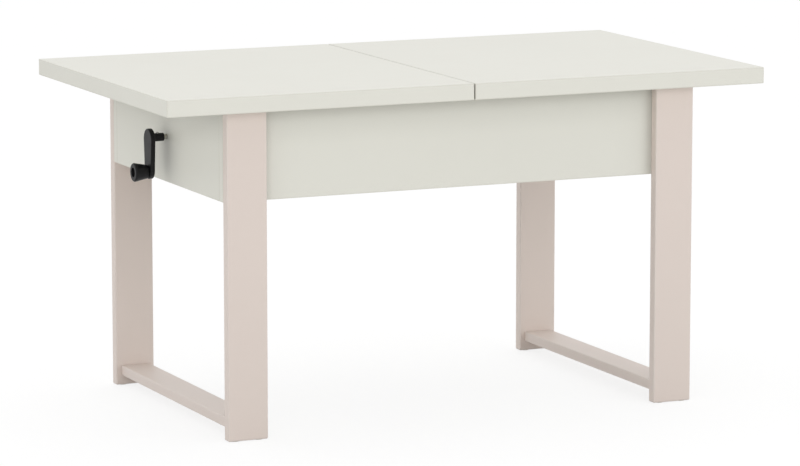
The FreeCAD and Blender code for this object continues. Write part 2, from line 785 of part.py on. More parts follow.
def make_top_half(end_name, end):
    x = side_low(end, "split_gap / 2", "top_length / 2")
    slab = board((x, "-top_width / 2", UNDER_TOP), (HALF_LENGTH, "top_width", "top_thick"), "slab_round")
    spread = "top_dowel_spacing"
    if end_name == "left":
        grip = "dowel_dia + 2 * hole_play"
        seat = "-split_gap / 2"
        holes = list(edge_dowels("x", seat, TOP_MID, spread, grip, "dowel_depth", "0"))
        pins = edge_dowels("x", seat, TOP_MID, spread, "dowel_dia", "dowel_depth", "dowel_reach")
        node("top_dowels", group(pins))
    else:
        loose = "dowel_dia + 2 * dowel_play"
        holes = list(edge_dowels("x", "split_gap / 2", TOP_MID, spread, loose, "0", "dowel_depth"))
    screws = []
    for side_name, side in SIDES.items():
        node(f"runner_{end_name}_{side_name}", make_runner(end, side))
        for spot in runner_screw_spots(end):
            holes.append(runner_screw_hole(spot, f"{side} * {RAIL_MID}"))
            screws.append(runner_screw(spot, f"{side} * {RAIL_MID}"))
    node(f"top_{end_name}", cut(slab, *holes))
    node(f"runner_screws_{end_name}", group(screws))


# Lead screw: it turns in a flanged bush behind the left panel and draws the nut along.
def make_bearing():
    z_low = f"{CRANK_Z} - block_height / 2"
    housing = block((BLOCK_X, "-block_width / 2", z_low), ("block_thick", "block_width", "block_height"))
    axis_start = (BLOCK_X, "0", CRANK_Z)
    bore = rod("x", axis_start, "bush_dia + 2 * running_fit", "block_thick")
    holes = [block_screw(y, z, "hole_play") for y, z in block_screw_spots()]
    node("bearing_block", cut(housing, bore, *holes))
    sleeve = rod("x", axis_start, "bush_dia", "block_thick")
    flange_start = (f"{BLOCK_X} + block_thick", "0", CRANK_Z)
    flange = rod("x", flange_start, "bush_flange_dia", "bush_flange_thick")
    bore = rod("x", axis_start, "journal_dia + 2 * running_fit", "block_thick + bush_flange_thick")
    node("bearing_bush", cut(fuse(sleeve, flange), bore))
    screws = []
    for y, z in block_screw_spots():
        head = rod("x", (f"{BLOCK_X} + block_thick", y, z), "screw_head_dia", "screw_head_thick")
        screws.append(fuse(block_screw(y, z, "0"), head))
    node("bearing_screws", group(screws))


def make_lead_screw():
    axis = ("0", CRANK_Z)
    shaft_start = f"({ARM_X} - shaft_in_arm)"
    shaft = rod("x", (shaft_start, *axis), "shaft_dia", f"{BLOCK_X} - {shaft_start}")
    journal = rod("x", (BLOCK_X, *axis), "journal_dia", f"{COLLAR_X} + collar_thick - {BLOCK_X}")
    thread_start = f"({COLLAR_X} + collar_thick)"
    thread = rod("x", (thread_start, *axis), "thread_dia", f"{SCREW_END} - {thread_start}")
    node("lead_screw", fuse(shaft, journal, thread))
    collar = rod("x", (COLLAR_X, *axis), "collar_dia", "collar_thick")
    collar_bore = rod("x", (COLLAR_X, *axis), "journal_dia + 2 * running_fit", "collar_thick")
    node("thrust_collar", cut(collar, collar_bore))
    stop_start = f"({SCREW_END} - stop_thick)"
    stop = rod("x", (stop_start, *axis), "stop_dia", "stop_thick")
    stop_bore = rod("x", (stop_start, *axis), "thread_dia + 2 * running_fit", "stop_thick")
    node("stop_collar", cut(stop, stop_bore))


def make_nut():
    start = (f"{SLIDE_X} - nut_length / 2", "-nut_width / 2", f"{CRANK_Z} - nut_height / 2")
    body = block(start, ("nut_length", "nut_width", "nut_height"))
    thread = rod("x", (start[0], "0", CRANK_Z), "thread_dia + 2 * running_fit", "nut_length")
    sockets = [
        out_rod(
            side, SLIDE_X, CRANK_Z, "boss_dia + 2 * running_fit",
            "(nut_width / 2 - nut_socket)", "nut_width / 2",
        )
        for side in SIDES.values()
    ]
    node("nut_block", cut(body, thread, *sockets))


# Crank: hub sleeve and arm in one moulding, hanging straight down, with a cone knob that spins on its bolt.
# The round ends of the arm lie a little inside the two axes, so the arm is broad for its length.
def make_crank():
    reach = "crank_throw - crank_head_drop - crank_tip_rise"
    arm_body = link("crank_hub_width", "crank_knob_width", reach, "crank_thick", "crank_round")
    hang = FreeCAD.Rotation(Vector(0, 1, 0), 90)
    arm_body.Placement = FreeCAD.Placement(Vector(), hang)
    place(arm_body, (FACE_X, "0", f"{CRANK_Z} - crank_head_drop"))
    hub = rod("x", (ARM_X, "0", CRANK_Z), "hub_dia", "hub_length")
    shaft_bore = rod(
        "x", (f"{ARM_X} - shaft_in_arm", "0", CRANK_Z),
        "shaft_dia + 2 * running_fit", "shaft_in_arm + hub_length",
    )
    set_x = f"({ARM_X} + hub_length / 2)"
    set_hole = rod("z", (set_x, "0", CRANK_Z), "set_screw_dia + 2 * running_fit", "hub_dia / 2")
    bolt_hole = rod(
        "x", (FACE_X, "0", KNOB_Z), "knob_bolt_dia + 2 * running_fit", "crank_thick"
    )
    node("crank_arm", cut(fuse(arm_body, hub), shaft_bore, set_hole, bolt_hole))
    set_low = "(shaft_dia / 2 + running_fit)"
    node("crank_set_screw", rod(
        "z", (set_x, "0", f"{CRANK_Z} + {set_low}"), "set_screw_dia",
        f"hub_dia / 2 + set_screw_proud - {set_low}",
    ))


def make_knob():
    cone = doc.addObject("Part::Cone", "cone")
    cone.Placement = FreeCAD.Placement(Vector(), FreeCAD.Rotation(Vector(0, 1, 0), -90))
    bind(cone, "Radius1", "knob_small_dia / 2")
    bind(cone, "Radius2", "knob_large_dia / 2")
    bind(cone, "Height", "knob_length")
    place(cone, (KNOB_X, "0", KNOB_Z))
    doc.recompute()
    rounded = doc.addObject("Part::Fillet", "rim")
    rounded.Base = cone
    rims = [
        (number, SIZES["knob_round"], SIZES["knob_round"])
        for number, edge in enumerate(cone.Shape.Edges, 1)
        if edge.Curve.TypeId == "Part::GeomCircle"
    ]
    rounded.Edges = rims
    knob_end = f"({KNOB_X} - knob_length)"
    bore = rod("x", (knob_end, "0", KNOB_Z), "knob_bolt_dia + 2 * running_fit", "knob_length")
    recess = rod("x", (knob_end, "0", KNOB_Z), "knob_recess_dia", "knob_recess_depth")
    node("crank_knob", cut(rounded, bore, recess))
    seat = f"({knob_end} + knob_recess_depth - knob_gap)"
    head = rod("x", (f"{seat} - knob_head_thick", "0", KNOB_Z), "knob_head_dia", "knob_head_thick")
    shank = rod("x", (seat, "0", KNOB_Z), "knob_bolt_dia", f"{ARM_X} - {seat}")
    node("knob_bolt", fuse(head, shank))


def check():
    """Every object computed, and every piece a valid solid."""
    for thing in doc.Objects:
        if "Invalid" in thing.State or "Error" in thing.State:
            raise RuntimeError(f"{thing.Name} {thing.Label} failed: {thing.State}")
    for thing in nodes:
        if thing.Shape.isNull() or not thing.Shape.isValid() or not thing.Shape.Solids:
            raise RuntimeError(f"{thing.Label} has no valid solid")


make_legs()
make_stretchers()
make_long_aprons()
make_end_aprons()
make_corner_blocks()
make_base_channels()
make_scissor_a()
make_scissor_b()
make_upper_channels()
make_cross_tubes()
make_runner_rails()
make_leaf()
for half_name, half_sign in ENDS.items():
    make_top_half(half_name, half_sign)
make_bearing()
make_lead_screw()
make_nut()
make_crank()
make_knob()
doc.recompute()
check()

os.makedirs("parts", exist_ok=True)
for piece in nodes:
    piece.Shape.exportStep(f"parts/{piece.Label}.step")
    print(piece.Label, len(piece.Shape.Solids), "solids", round(piece.Shape.Volume), "mm3")
print(len(nodes), "pieces")
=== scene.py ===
# %% [markdown]
# # An extending coffee table with a crank lift
# The table stands on four flat board legs. Its top is split in two halves that slide apart, and a crank
# on the left end drives a scissor lift under the top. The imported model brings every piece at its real
# size, in metres, with X along the table, -Y at the front and Z up. This lesson gives each piece its
# finish and puts finer surfaces in place of the plain ones: threads, screw heads, rolled channels and
# fluted dowels.

# %% Load the frame
import json
import math

import bpy
import numpy as np
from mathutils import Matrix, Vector

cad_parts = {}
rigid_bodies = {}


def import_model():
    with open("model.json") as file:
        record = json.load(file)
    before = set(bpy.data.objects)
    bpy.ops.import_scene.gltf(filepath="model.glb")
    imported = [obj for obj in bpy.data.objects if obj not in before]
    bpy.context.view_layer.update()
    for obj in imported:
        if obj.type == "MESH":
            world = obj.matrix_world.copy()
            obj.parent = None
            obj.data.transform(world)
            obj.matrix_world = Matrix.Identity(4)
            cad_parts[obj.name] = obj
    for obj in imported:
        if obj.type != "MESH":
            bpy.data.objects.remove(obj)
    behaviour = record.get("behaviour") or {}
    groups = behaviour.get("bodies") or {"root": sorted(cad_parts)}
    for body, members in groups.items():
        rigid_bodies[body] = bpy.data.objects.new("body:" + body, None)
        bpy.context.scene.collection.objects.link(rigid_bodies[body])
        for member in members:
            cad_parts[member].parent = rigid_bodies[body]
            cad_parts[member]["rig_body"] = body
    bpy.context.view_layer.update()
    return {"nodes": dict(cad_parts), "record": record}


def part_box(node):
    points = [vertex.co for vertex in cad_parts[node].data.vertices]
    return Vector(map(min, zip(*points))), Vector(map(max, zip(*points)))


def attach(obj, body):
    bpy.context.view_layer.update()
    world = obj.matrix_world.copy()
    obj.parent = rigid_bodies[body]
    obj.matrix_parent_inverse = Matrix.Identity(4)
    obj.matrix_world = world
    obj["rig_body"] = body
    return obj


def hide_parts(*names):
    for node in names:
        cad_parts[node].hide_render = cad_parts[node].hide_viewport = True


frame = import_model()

MM = 0.001

# %% [markdown]
# ## Camera
# A long lens from far away keeps the table's verticals straight, as a catalogue picture does. Aiming by
# eye is quick, but a camera solved from the edges of the top, the legs and the aprons puts each corner
# within about a pixel. Its place in metres, and its turn to the right and tilt down in radians, are
# written here as solved. The focal length is in pixels of an image 800 wide, turned to millimetres of a
# 36 mm sensor.

# %% Camera
IMAGE_WIDTH = 800
CAMERA_AT = (-2.97984, -6.64644, 1.46539)
CAMERA_TURN = 0.42184
CAMERA_TILT = 0.16094
FOCAL_PIXELS = 4223.3
SENSOR = 36

scene = bpy.context.scene
camera = bpy.data.objects.new("camera", bpy.data.cameras.new("camera"))
scene.collection.objects.link(camera)
camera.location = CAMERA_AT
camera.rotation_euler = (math.pi / 2 - CAMERA_TILT, 0, -CAMERA_TURN)
camera.data.sensor_width = SENSOR
camera.data.lens = FOCAL_PIXELS / IMAGE_WIDTH * SENSOR
scene.camera = camera
scene.view_settings.view_transform = "Standard"
print("lens", round(camera.data.lens, 1), "mm")

# %% [markdown]
# ## Nodes
# Every finish below is a small tree of nodes. Building one by hand in the editor is a good way to try
# things, and a script keeps it. One helper adds a node, sets its properties, and fills or links its
# inputs. Most sockets go by name. A Mix node has its sockets several times over, once for each type of
# data, so its colours go by number: factor 0, colours 6 and 7, result 2. Colours are written as they look
# on a screen and turned to the linear values that light is added up in.

# %% Helpers for colours and nodes
FACTOR, FIRST, SECOND, MIXED = 0, 6, 7, 2
WHITE = (1, 1, 1, 1)


def linear(colour):
    """Hex sRGB to linear RGBA: c / 12.92 for dark values, else ((c + 0.055) / 1.055) to the power 2.4."""
    srgb = np.array([int(colour[i:i + 2], 16) for i in (1, 3, 5)]) / 255
    light = np.where(srgb <= 0.04045, srgb / 12.92, ((srgb + 0.055) / 1.055) ** 2.4)
    return (*light.tolist(), 1.0)


def add(tree, kind, inputs=None, **settings):
    """Add a shader node with its settings. An input is a value, or the output socket of another node."""
    node = tree.nodes.new("ShaderNode" + kind)
    for name, value in settings.items():
        setattr(node, name, value)
    for name, value in (inputs or {}).items():
        if isinstance(value, bpy.types.NodeSocket):
            tree.links.new(value, node.inputs[name])
        else:
            node.inputs[name].default_value = value
    return node


def start_finish(name):
    """A material with an empty tree, and the Object coordinates that all its patterns are laid out in."""
    material = bpy.data.materials.new(name)
    material.use_nodes = True
    tree = material.node_tree
    tree.nodes.clear()
    return material, tree, add(tree, "TexCoord").outputs["Object"]


def end_finish(tree, surface, **inputs):
    """Close a tree: the surface's sockets, then the output. Underscores in a name stand for spaces."""
    sockets = {name.replace("_", " "): value for name, value in inputs.items()}
    shader = add(tree, "BsdfPrincipled", {**surface, **sockets})
    add(tree, "OutputMaterial", {"Surface": shader.outputs["BSDF"]})


def per_metre(millimetres):
    """The scale of a pattern whose features are that many millimetres apart."""
    return 1000 / millimetres


print("a screen's middle grey #808080 is linear", np.round(linear("#808080"), 3))

# %% [markdown]
# ## Studio
# The picture is a soft, nearly shadowless studio on white. Lamps all round would do, but a bright dome
# gives the same even light with nothing to aim. It is brighter overhead and towards the back, and two big
# soft boxes low in front fill the faces that look at us, so the left end of the table stays the darker
# one. Rays from the camera, and reflections, see plain white. The floor is pale, and what the camera sees
# of it is mostly white, with the table's shadow left in.

# %% Dome
DOME = 0.77
LEAN = (0.1, 0.6, 0.25)


def seen_directly(tree):
    """1 for rays from the camera, in reflections and through glass, else 0."""
    path = add(tree, "LightPath").outputs
    either = add(tree, "Math", {0: path["Is Camera Ray"], 1: path["Is Glossy Ray"]}, operation="MAXIMUM")
    return add(
        tree, "Math", {0: either.outputs[0], 1: path["Is Transmission Ray"]}, operation="MAXIMUM"
    ).outputs[0]


world = bpy.data.worlds.new("studio")
scene.world = world
world.use_nodes = True
sky = world.node_tree
sky.nodes.clear()
toward = add(sky, "TexCoord").outputs["Generated"]
slope = add(sky, "VectorMath", {0: toward, 1: LEAN}, operation="DOT_PRODUCT").outputs["Value"]
strength = add(sky, "Math", {0: slope, 1: DOME, 2: DOME}, operation="MULTIPLY_ADD").outputs[0]
dome = add(sky, "Background", {"Color": WHITE, "Strength": strength})
backdrop = add(sky, "Background", {"Color": WHITE, "Strength": 1.0})
shown = add(sky, "MixShader", {0: seen_directly(sky), 1: dome.outputs[0], 2: backdrop.outputs[0]})
add(sky, "OutputWorld", {"Surface": shown.outputs[0]})
print("dome at", DOME, "leaning", LEAN)

# %% Floor
FLOOR_PALE = "#D5D5D3"
FLOOR_HALF = 40.0
SHADOW_SHARE = 0.22
FLOOR_GLOW = 1.03

paper, paper_tree, _ = start_finish("pale_studio_paper")
seen = seen_directly(paper_tree)
tone = add(
    paper_tree, "Mix", {FACTOR: seen, FIRST: linear(FLOOR_PALE), SECOND: WHITE}, data_type="RGBA"
).outputs[MIXED]
lit = add(paper_tree, "BsdfDiffuse", {"Color": tone})
glow = add(paper_tree, "Emission", {"Color": WHITE, "Strength": FLOOR_GLOW})
share = add(paper_tree, "Math", {0: seen, 1: 1 - SHADOW_SHARE}, operation="MULTIPLY").outputs[0]
mixed = add(paper_tree, "MixShader", {0: share, 1: lit.outputs[0], 2: glow.outputs[0]})
add(paper_tree, "OutputMaterial", {"Surface": mixed.outputs[0]})

sheet = bpy.data.meshes.new("floor")
floor_corners = [(FLOOR_HALF * x, FLOOR_HALF * y, 0) for x, y in ((-1, -1), (1, -1), (1, 1), (-1, 1))]
sheet.from_pydata(floor_corners, [], [(0, 1, 2, 3)])
sheet.materials.append(paper)
floor = bpy.data.objects.new("floor", sheet)
scene.collection.objects.link(floor)
print("floor", 2 * FLOOR_HALF, "m square")

# %% Soft boxes
BOX_AWAY = 5.0
BOX_WIDE = 3.0
BOX_TALL = 2.0
BOX_RAISED = math.radians(12)
BOX_AIM = Vector((0, 0, 0.4))
SOFT_BOXES = {"left_soft_box": (-30, 47), "right_soft_box": (35, 39)}

for name, (azimuth, watts) in SOFT_BOXES.items():
    turn = math.radians(azimuth)
    level_out = Vector((math.sin(turn), -math.cos(turn), 0))
    outwards = level_out * math.cos(BOX_RAISED) + Vector((0, 0, math.sin(BOX_RAISED)))
    lamp = bpy.data.lights.new(name, "AREA")
    lamp.shape = "RECTANGLE"
    lamp.size = BOX_WIDE
    lamp.size_y = BOX_TALL
    lamp.energy = watts
    soft_box = bpy.data.objects.new(name, lamp)
    soft_box.location = BOX_AIM + outwards * BOX_AWAY
    soft_box.rotation_euler = outwards.to_track_quat("Z", "Y").to_euler()
    soft_box.visible_camera = False
    scene.collection.objects.link(soft_box)
print("soft boxes, azimuth and watts:", SOFT_BOXES)

# %% [markdown]
# ## Boards: how deep is a point?
# The top, the leaf, the aprons, the legs and the stretchers are boards, faced on all sides. What they
# have in common is a skin about a millimetre thick over a core that only shows in drilled holes. Painting
# that by hand needs a UV map. It is simpler to ask, for each point, how far it is from the board's six
# faces: the smallest of the three distances is its depth, and where the middle one is small too, the
# point is on an edge, where hands wear it.

# %% Depth nodes
SKIN = 1.1 * MM


def board_depths(tree, spot, node):
    """Depth under the nearest face, and distance from the nearest edge: with d = half size - |p - centre|,
    they are the smallest and the middle one of d's three parts."""
    low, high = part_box(node)
    middle = tuple((low + high) / 2)
    half = tuple((high - low) / 2)
    away = add(tree, "VectorMath", {0: spot, 1: middle}, operation="SUBTRACT").outputs[0]
    away = add(tree, "VectorMath", {0: away}, operation="ABSOLUTE").outputs[0]
    depth = add(tree, "VectorMath", {0: half, 1: away}, operation="SUBTRACT").outputs[0]
    x, y, z = add(tree, "SeparateXYZ", {0: depth}).outputs
    low_xy = add(tree, "Math", {0: x, 1: y}, operation="MINIMUM").outputs[0]
    high_xy = add(tree, "Math", {0: x, 1: y}, operation="MAXIMUM").outputs[0]
    least = add(tree, "Math", {0: low_xy, 1: z}, operation="MINIMUM").outputs[0]
    other = add(tree, "Math", {0: low_xy, 1: z}, operation="MAXIMUM").outputs[0]
    second = add(tree, "Math", {0: high_xy, 1: other}, operation="MINIMUM").outputs[0]
    return least, second


print("a face's skin is", SKIN / MM, "mm; deeper points are core")

# %% Skin, worn edges and core


def near_edge(tree, second, span, most):
    """0 on a board's faces, rising over a span of distances from the nearest edge to most on the edge."""
    distances = {"Value": second, "From Min": span[0], "From Max": span[1], "To Max": most}
    return add(tree, "MapRange", distances).outputs[0]


def rubbed_skin(tree, shade, on_edge, touch, fresh, rubbed):
    """The fresh colour times its shade, giving way to the rubbed colour where hands touch an edge."""
    toned = add(tree, "VectorMath", {0: linear(fresh)[:3], "Scale": shade}, operation="SCALE").outputs[0]
    worn = add(tree, "Math", {0: on_edge, 1: touch}, operation="MULTIPLY").outputs[0]
    return add(
        tree, "Mix", {FACTOR: worn, FIRST: toned, SECOND: linear(rubbed)}, data_type="RGBA"
    ).outputs[MIXED]


def skin_over_core(tree, least, skin, core):
    """The skin's colour down to the skin's depth, the core's colour below it."""
    deep = add(tree, "Math", {0: least, 1: SKIN}, operation="GREATER_THAN").outputs[0]
    return add(tree, "Mix", {FACTOR: deep, FIRST: skin, SECOND: core}, data_type="RGBA").outputs[MIXED]


by_slot = {}
for row in frame["record"]["subparts"]:
    by_slot.setdefault(row["material_slot"], []).append(row["node"])
print("nodes by finish:", {slot: len(nodes) for slot, nodes in by_slot.items()})

# %% [markdown]
# ## Cream laminate
# The top and the aprons are chipboard faced with a pearl-matt melamine film, and their edges carry a band
# of the same colour. Up close the film has a fine pressed pearl texture, the band's glue line is a hair
# of darker tone, and the edges are polished a little by use. Shade is painted into the film's colour in
# the corners where boards meet, over a few centimetres: ambient occlusion finds those corners and darkens
# them. From a step away it is one calm, warm white, so each of these is kept faint. The pressed texture
# is really about 0.3 mm across and is drawn at 1.2 mm so that it can show.

# %% Cream laminate
CREAM = "#E7E6DD"
CREAM_RUBBED = "#DEDCD1"
GLUE_LINE = "#C9C6B9"
CHIP_PALE = "#CDB184"
CHIP_DARK = "#8C6A43"
CHIP_SIZE = 2.2
BAND = 1.5 * MM
LINE = 0.12 * MM
LINE_SHARE = 0.6
# painted corner shade: how far it reaches, how dark it gets at the deepest corner, and the rays that find
# it
CORNER_REACH = 70 * MM
CORNER_TONE = 0.6
CORNER_RAYS = 8
FILM_TONE = (0.985, 1.015)
FILM_ROUGH = (0.44, 0.54)
FILM_POLISH = -0.08
FILM_EDGE = (2.4 * MM, 0.4 * MM)
FILM_WEAR = 0.8
PRESS_DEEP = 0.1 * MM
PRESS_SHARE = 0.12
# millimetres across and detail of the mottle, the marks of handling and the pearl
FILM_PATTERNS = ((260, 3.0), (45, 4.0), (1.2, 2.0))


def cream_laminate(node):
    """Pearl-matt melamine film: broad sheen, faint mottle, painted shade in corners, glue lines at edge
    bands, chips in holes.
    """
    material, tree, spot = start_finish("cream_laminate_" + node)
    least, second = board_depths(tree, spot, node)
    mottle, handling, pearl = (
        add(tree, "TexNoise", {"Vector": spot, "Scale": per_metre(size), "Detail": detail}).outputs["Fac"]
        for size, detail in FILM_PATTERNS
    )
    # painted shade: ambient occlusion darkens the film's colour where boards meet, down to CORNER_TONE in
    # the deepest corners
    corner = add(tree, "AmbientOcclusion", {"Distance": CORNER_REACH}, samples=CORNER_RAYS).outputs["AO"]
    shade = add(
        tree, "MapRange", {"Value": mottle, "To Min": FILM_TONE[0], "To Max": FILM_TONE[1]}
    ).outputs[0]
    painted_corner_shade = add(tree, "MapRange", {"Value": corner, "To Min": CORNER_TONE, "To Max": 1.0}).outputs[0]
    shade = add(tree, "Math", {0: shade, 1: painted_corner_shade}, operation="MULTIPLY").outputs[0]
    on_edge = near_edge(tree, second, FILM_EDGE, FILM_WEAR)
    colour = rubbed_skin(tree, shade, on_edge, handling, CREAM, CREAM_RUBBED)
    seam = add(tree, "Math", {0: second, 1: BAND, 2: LINE}, operation="COMPARE").outputs[0]
    seam = add(tree, "Math", {0: seam, 1: LINE_SHARE}, operation="MULTIPLY").outputs[0]
    colour = add(
        tree, "Mix", {FACTOR: seam, FIRST: colour, SECOND: linear(GLUE_LINE)}, data_type="RGBA"
    ).outputs[MIXED]
    chips = add(tree, "TexVoronoi", {"Vector": spot, "Scale": per_metre(CHIP_SIZE)}).outputs["Color"]
    chip = add(
        tree, "Mix", {FACTOR: chips, FIRST: linear(CHIP_PALE), SECOND: linear(CHIP_DARK)}, data_type="RGBA"
    ).outputs[MIXED]
    colour = skin_over_core(tree, least, colour, chip)
    gloss = add(
        tree, "MapRange", {"Value": handling, "To Min": FILM_ROUGH[0], "To Max": FILM_ROUGH[1]}
    ).outputs[0]
    rough = add(tree, "Math", {0: on_edge, 1: FILM_POLISH, 2: gloss}, operation="MULTIPLY_ADD").outputs[0]
    press = add(
        tree, "Bump", {"Height": pearl, "Strength": PRESS_SHARE, "Distance": PRESS_DEEP}
    ).outputs[0]
    end_finish(tree, {"Base Color": colour, "Roughness": rough, "Normal": press}, IOR=1.5)
    return material


print("cream", CREAM, "with patterns of", [size for size, detail in FILM_PATTERNS], "mm")

# %% Dress the cream boards


def dress(node, material):
    """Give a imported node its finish."""
    slots = frame["nodes"][node].data.materials
    slots.clear()
    slots.append(material)


for node in by_slot["cream_laminate"]:
    dress(node, cream_laminate(node))
print("cream boards", by_slot["cream_laminate"])

# %% [markdown]
# ## Powder-pink lacquer
# The legs and stretchers are fibreboard, sprayed with a powder-pink satin lacquer. Sprayed lacquer flows
# into a very soft ripple, the "orange peel", a few millimetres across, and rubs a little paler along its
# edges. The ripple is a bump in the finish because on the real board it is thinner than a hair. Bare
# fibreboard shows only in drilled holes.

# %% Powder-pink lacquer
PINK = "#E5D8D0"
PINK_RUBBED = "#EBE2DC"
FIBRE_PALE = "#B99C74"
FIBRE_DARK = "#94764F"
LACQUER_TONE = (0.985, 1.015)
LACQUER_ROUGH = (0.36, 0.46)
LACQUER_EDGE = (2.6 * MM, 0.6 * MM)
LACQUER_WEAR = 0.9
PEEL_DEEP = 0.2 * MM
PEEL_SHARE = 0.08
# millimetres across and detail of the drift in tone, the marks of touch, the ripple and the fibres
LACQUER_PATTERNS = ((180, 2.0), (30, 4.0), (3.5, 1.0), (0.8, 2.0))


def pink_lacquer(node):
    """Sprayed satin lacquer: even colour, a soft ripple in its sheen, paler where the edges are rubbed."""
    material, tree, spot = start_finish("pink_lacquer_" + node)
    least, second = board_depths(tree, spot, node)
    drift, touch, ripple, fibre = (
        add(tree, "TexNoise", {"Vector": spot, "Scale": per_metre(size), "Detail": detail}).outputs["Fac"]
        for size, detail in LACQUER_PATTERNS
    )
    shade = add(
        tree, "MapRange", {"Value": drift, "To Min": LACQUER_TONE[0], "To Max": LACQUER_TONE[1]}
    ).outputs[0]
    on_edge = near_edge(tree, second, LACQUER_EDGE, LACQUER_WEAR)
    colour = rubbed_skin(tree, shade, on_edge, touch, PINK, PINK_RUBBED)
    board = add(
        tree, "Mix", {FACTOR: fibre, FIRST: linear(FIBRE_PALE), SECOND: linear(FIBRE_DARK)},
        data_type="RGBA",
    ).outputs[MIXED]
    colour = skin_over_core(tree, least, colour, board)
    gloss = add(
        tree, "MapRange", {"Value": touch, "To Min": LACQUER_ROUGH[0], "To Max": LACQUER_ROUGH[1]}
    ).outputs[0]
    peel = add(tree, "Bump", {"Height": ripple, "Strength": PEEL_SHARE, "Distance": PEEL_DEEP}).outputs[0]
    end_finish(tree, {"Base Color": colour, "Roughness": gloss, "Normal": peel}, IOR=1.5)
    return material


for node in by_slot["pink_lacquer"]:
    dress(node, pink_lacquer(node))
print("pink boards", by_slot["pink_lacquer"])

# %% [markdown]
# ## Black crank plastic
# The crank is one moulding of black ABS with a satin, finely eroded surface, and the knob is the same
# plastic. It looks almost black where it faces us and dark grey where it is seen at a slant, because a
# satin black shows mostly its own reflection. The eroded texture is about 0.1 mm and is drawn at 0.6 mm.

# %% Black ABS
ABS_BLACK = "#0F0F10"
ABS_WORN = "#1C1C1E"
ABS_ROUGH = (0.38, 0.5)
GRAIN_DEEP = 0.05 * MM
GRAIN_SHARE = 0.25
# millimetres across and detail of the eroded grit and the palm's polish
ABS_PATTERNS = ((0.6, 2.0), (14, 4.0))


def black_abs():
    """Moulded ABS, spark-eroded satin: dark body, soft reflection, greyer where palms polish it."""
    material, tree, spot = start_finish("black_abs_satin")
    grit, palm = (
        add(tree, "TexNoise", {"Vector": spot, "Scale": per_metre(size), "Detail": detail}).outputs["Fac"]
        for size, detail in ABS_PATTERNS
    )
    colour = add(
        tree, "Mix", {FACTOR: palm, FIRST: linear(ABS_BLACK), SECOND: linear(ABS_WORN)}, data_type="RGBA"
    ).outputs[MIXED]
    gloss = add(
        tree, "MapRange", {"Value": palm, "To Min": ABS_ROUGH[0], "To Max": ABS_ROUGH[1]}
    ).outputs[0]
    grain = add(tree, "Bump", {"Height": grit, "Strength": GRAIN_SHARE, "Distance": GRAIN_DEEP}).outputs[0]
    surface = {"Base Color": colour, "Roughness": gloss, "Normal": grain}
    end_finish(tree, surface, IOR=1.5, Specular_IOR_Level=0.18)
    return material


moulded_black = black_abs()
for node in by_slot["black_abs"]:
    dress(node, moulded_black)
print("moulded", by_slot["black_abs"])

# %% [markdown]
# ## Beech
# Glue blocks in the corners and the dowels are plain planed beech: a pale pink-brown wood with a close,
# straight grain and short darker flecks. A picture of wood would show a repeat, so the grain is worked
# out from noise that is stretched along the piece: growth bands 3 mm apart, flecks about a millimetre
# wide, drawn out sixteen times their width or so.

# %% Beech
BEECH_PALE = "#DDBE95"
BEECH_BAND = "#CBA274"
BEECH_FLECK = "#A9784A"
BEECH_ROUGH = 0.62
FLECK_EDGE = (0.6, 0.72)
FIBRE_DEEP = 0.1 * MM
FIBRE_SHARE = 0.2
DRAWN_OUT = 0.06
ALONG = {"x": (DRAWN_OUT, 1, 1), "y": (1, DRAWN_OUT, 1), "z": (1, 1, DRAWN_OUT)}
# millimetres across and detail of the growth bands and the flecks
BEECH_PATTERNS = ((3, 3.0), (0.9, 1.0))


def beech(grain):
    """Planed beech with its grain along one axis: soft bands, short flecks, a dry matt face."""
    material, tree, spot = start_finish("planed_beech_" + grain)
    drawn = add(tree, "Mapping", {"Vector": spot, "Scale": ALONG[grain]}).outputs[0]
    band, fleck = (
        add(tree, "TexNoise", {"Vector": drawn, "Scale": per_metre(size), "Detail": detail}).outputs["Fac"]
        for size, detail in BEECH_PATTERNS
    )
    spots = add(
        tree, "MapRange", {"Value": fleck, "From Min": FLECK_EDGE[0], "From Max": FLECK_EDGE[1]}
    ).outputs[0]
    wood = add(
        tree, "Mix", {FACTOR: band, FIRST: linear(BEECH_PALE), SECOND: linear(BEECH_BAND)},
        data_type="RGBA",
    ).outputs[MIXED]
    wood = add(
        tree, "Mix", {FACTOR: spots, FIRST: wood, SECOND: linear(BEECH_FLECK)}, data_type="RGBA"
    ).outputs[MIXED]
    fibres = add(
        tree, "Bump", {"Height": fleck, "Strength": FIBRE_SHARE, "Distance": FIBRE_DEEP}
    ).outputs[0]
    end_finish(tree, {"Base Color": wood, "Roughness": BEECH_ROUGH, "Normal": fibres}, IOR=1.5)
    return material


GRAIN = {"corner_blocks": "z", "stretcher_dowels": "y", "leaf_dowels": "y", "top_dowels": "x"}
planed = {grain: beech(grain) for grain in sorted(set(GRAIN.values()))}
for node in by_slot["beech"]:
    dress(node, planed[GRAIN[node]])
print("beech", by_slot["beech"])

# %% [markdown]
# ## Metals and nylon of the lift
# Under the top there is a whole machine. Screws, rivets and rods are zinc plated: bright, a little
# cloudy, with a hint of yellow from the passivation bath. The rolled channels are the same zinc with
# streaks along the strip. The arms and tubes are powder coated, a black with a fine pebbled skin. The
# rails are matt anodised extrusions with die lines, the nut and bush are bearing bronze, and runners,
# rollers and caps are white nylon. Metals get their look from what they reflect, so only their tint,
# their roughness and the direction of their streaks are set.

# %% Metals
CLOUD_EDGE = (0.3, 0.7)
CLOUD_DETAIL = 4.0
MARK_DETAIL = 2.0
MARK_DEEP = 0.02 * MM
MARK_SHARE = 0.2


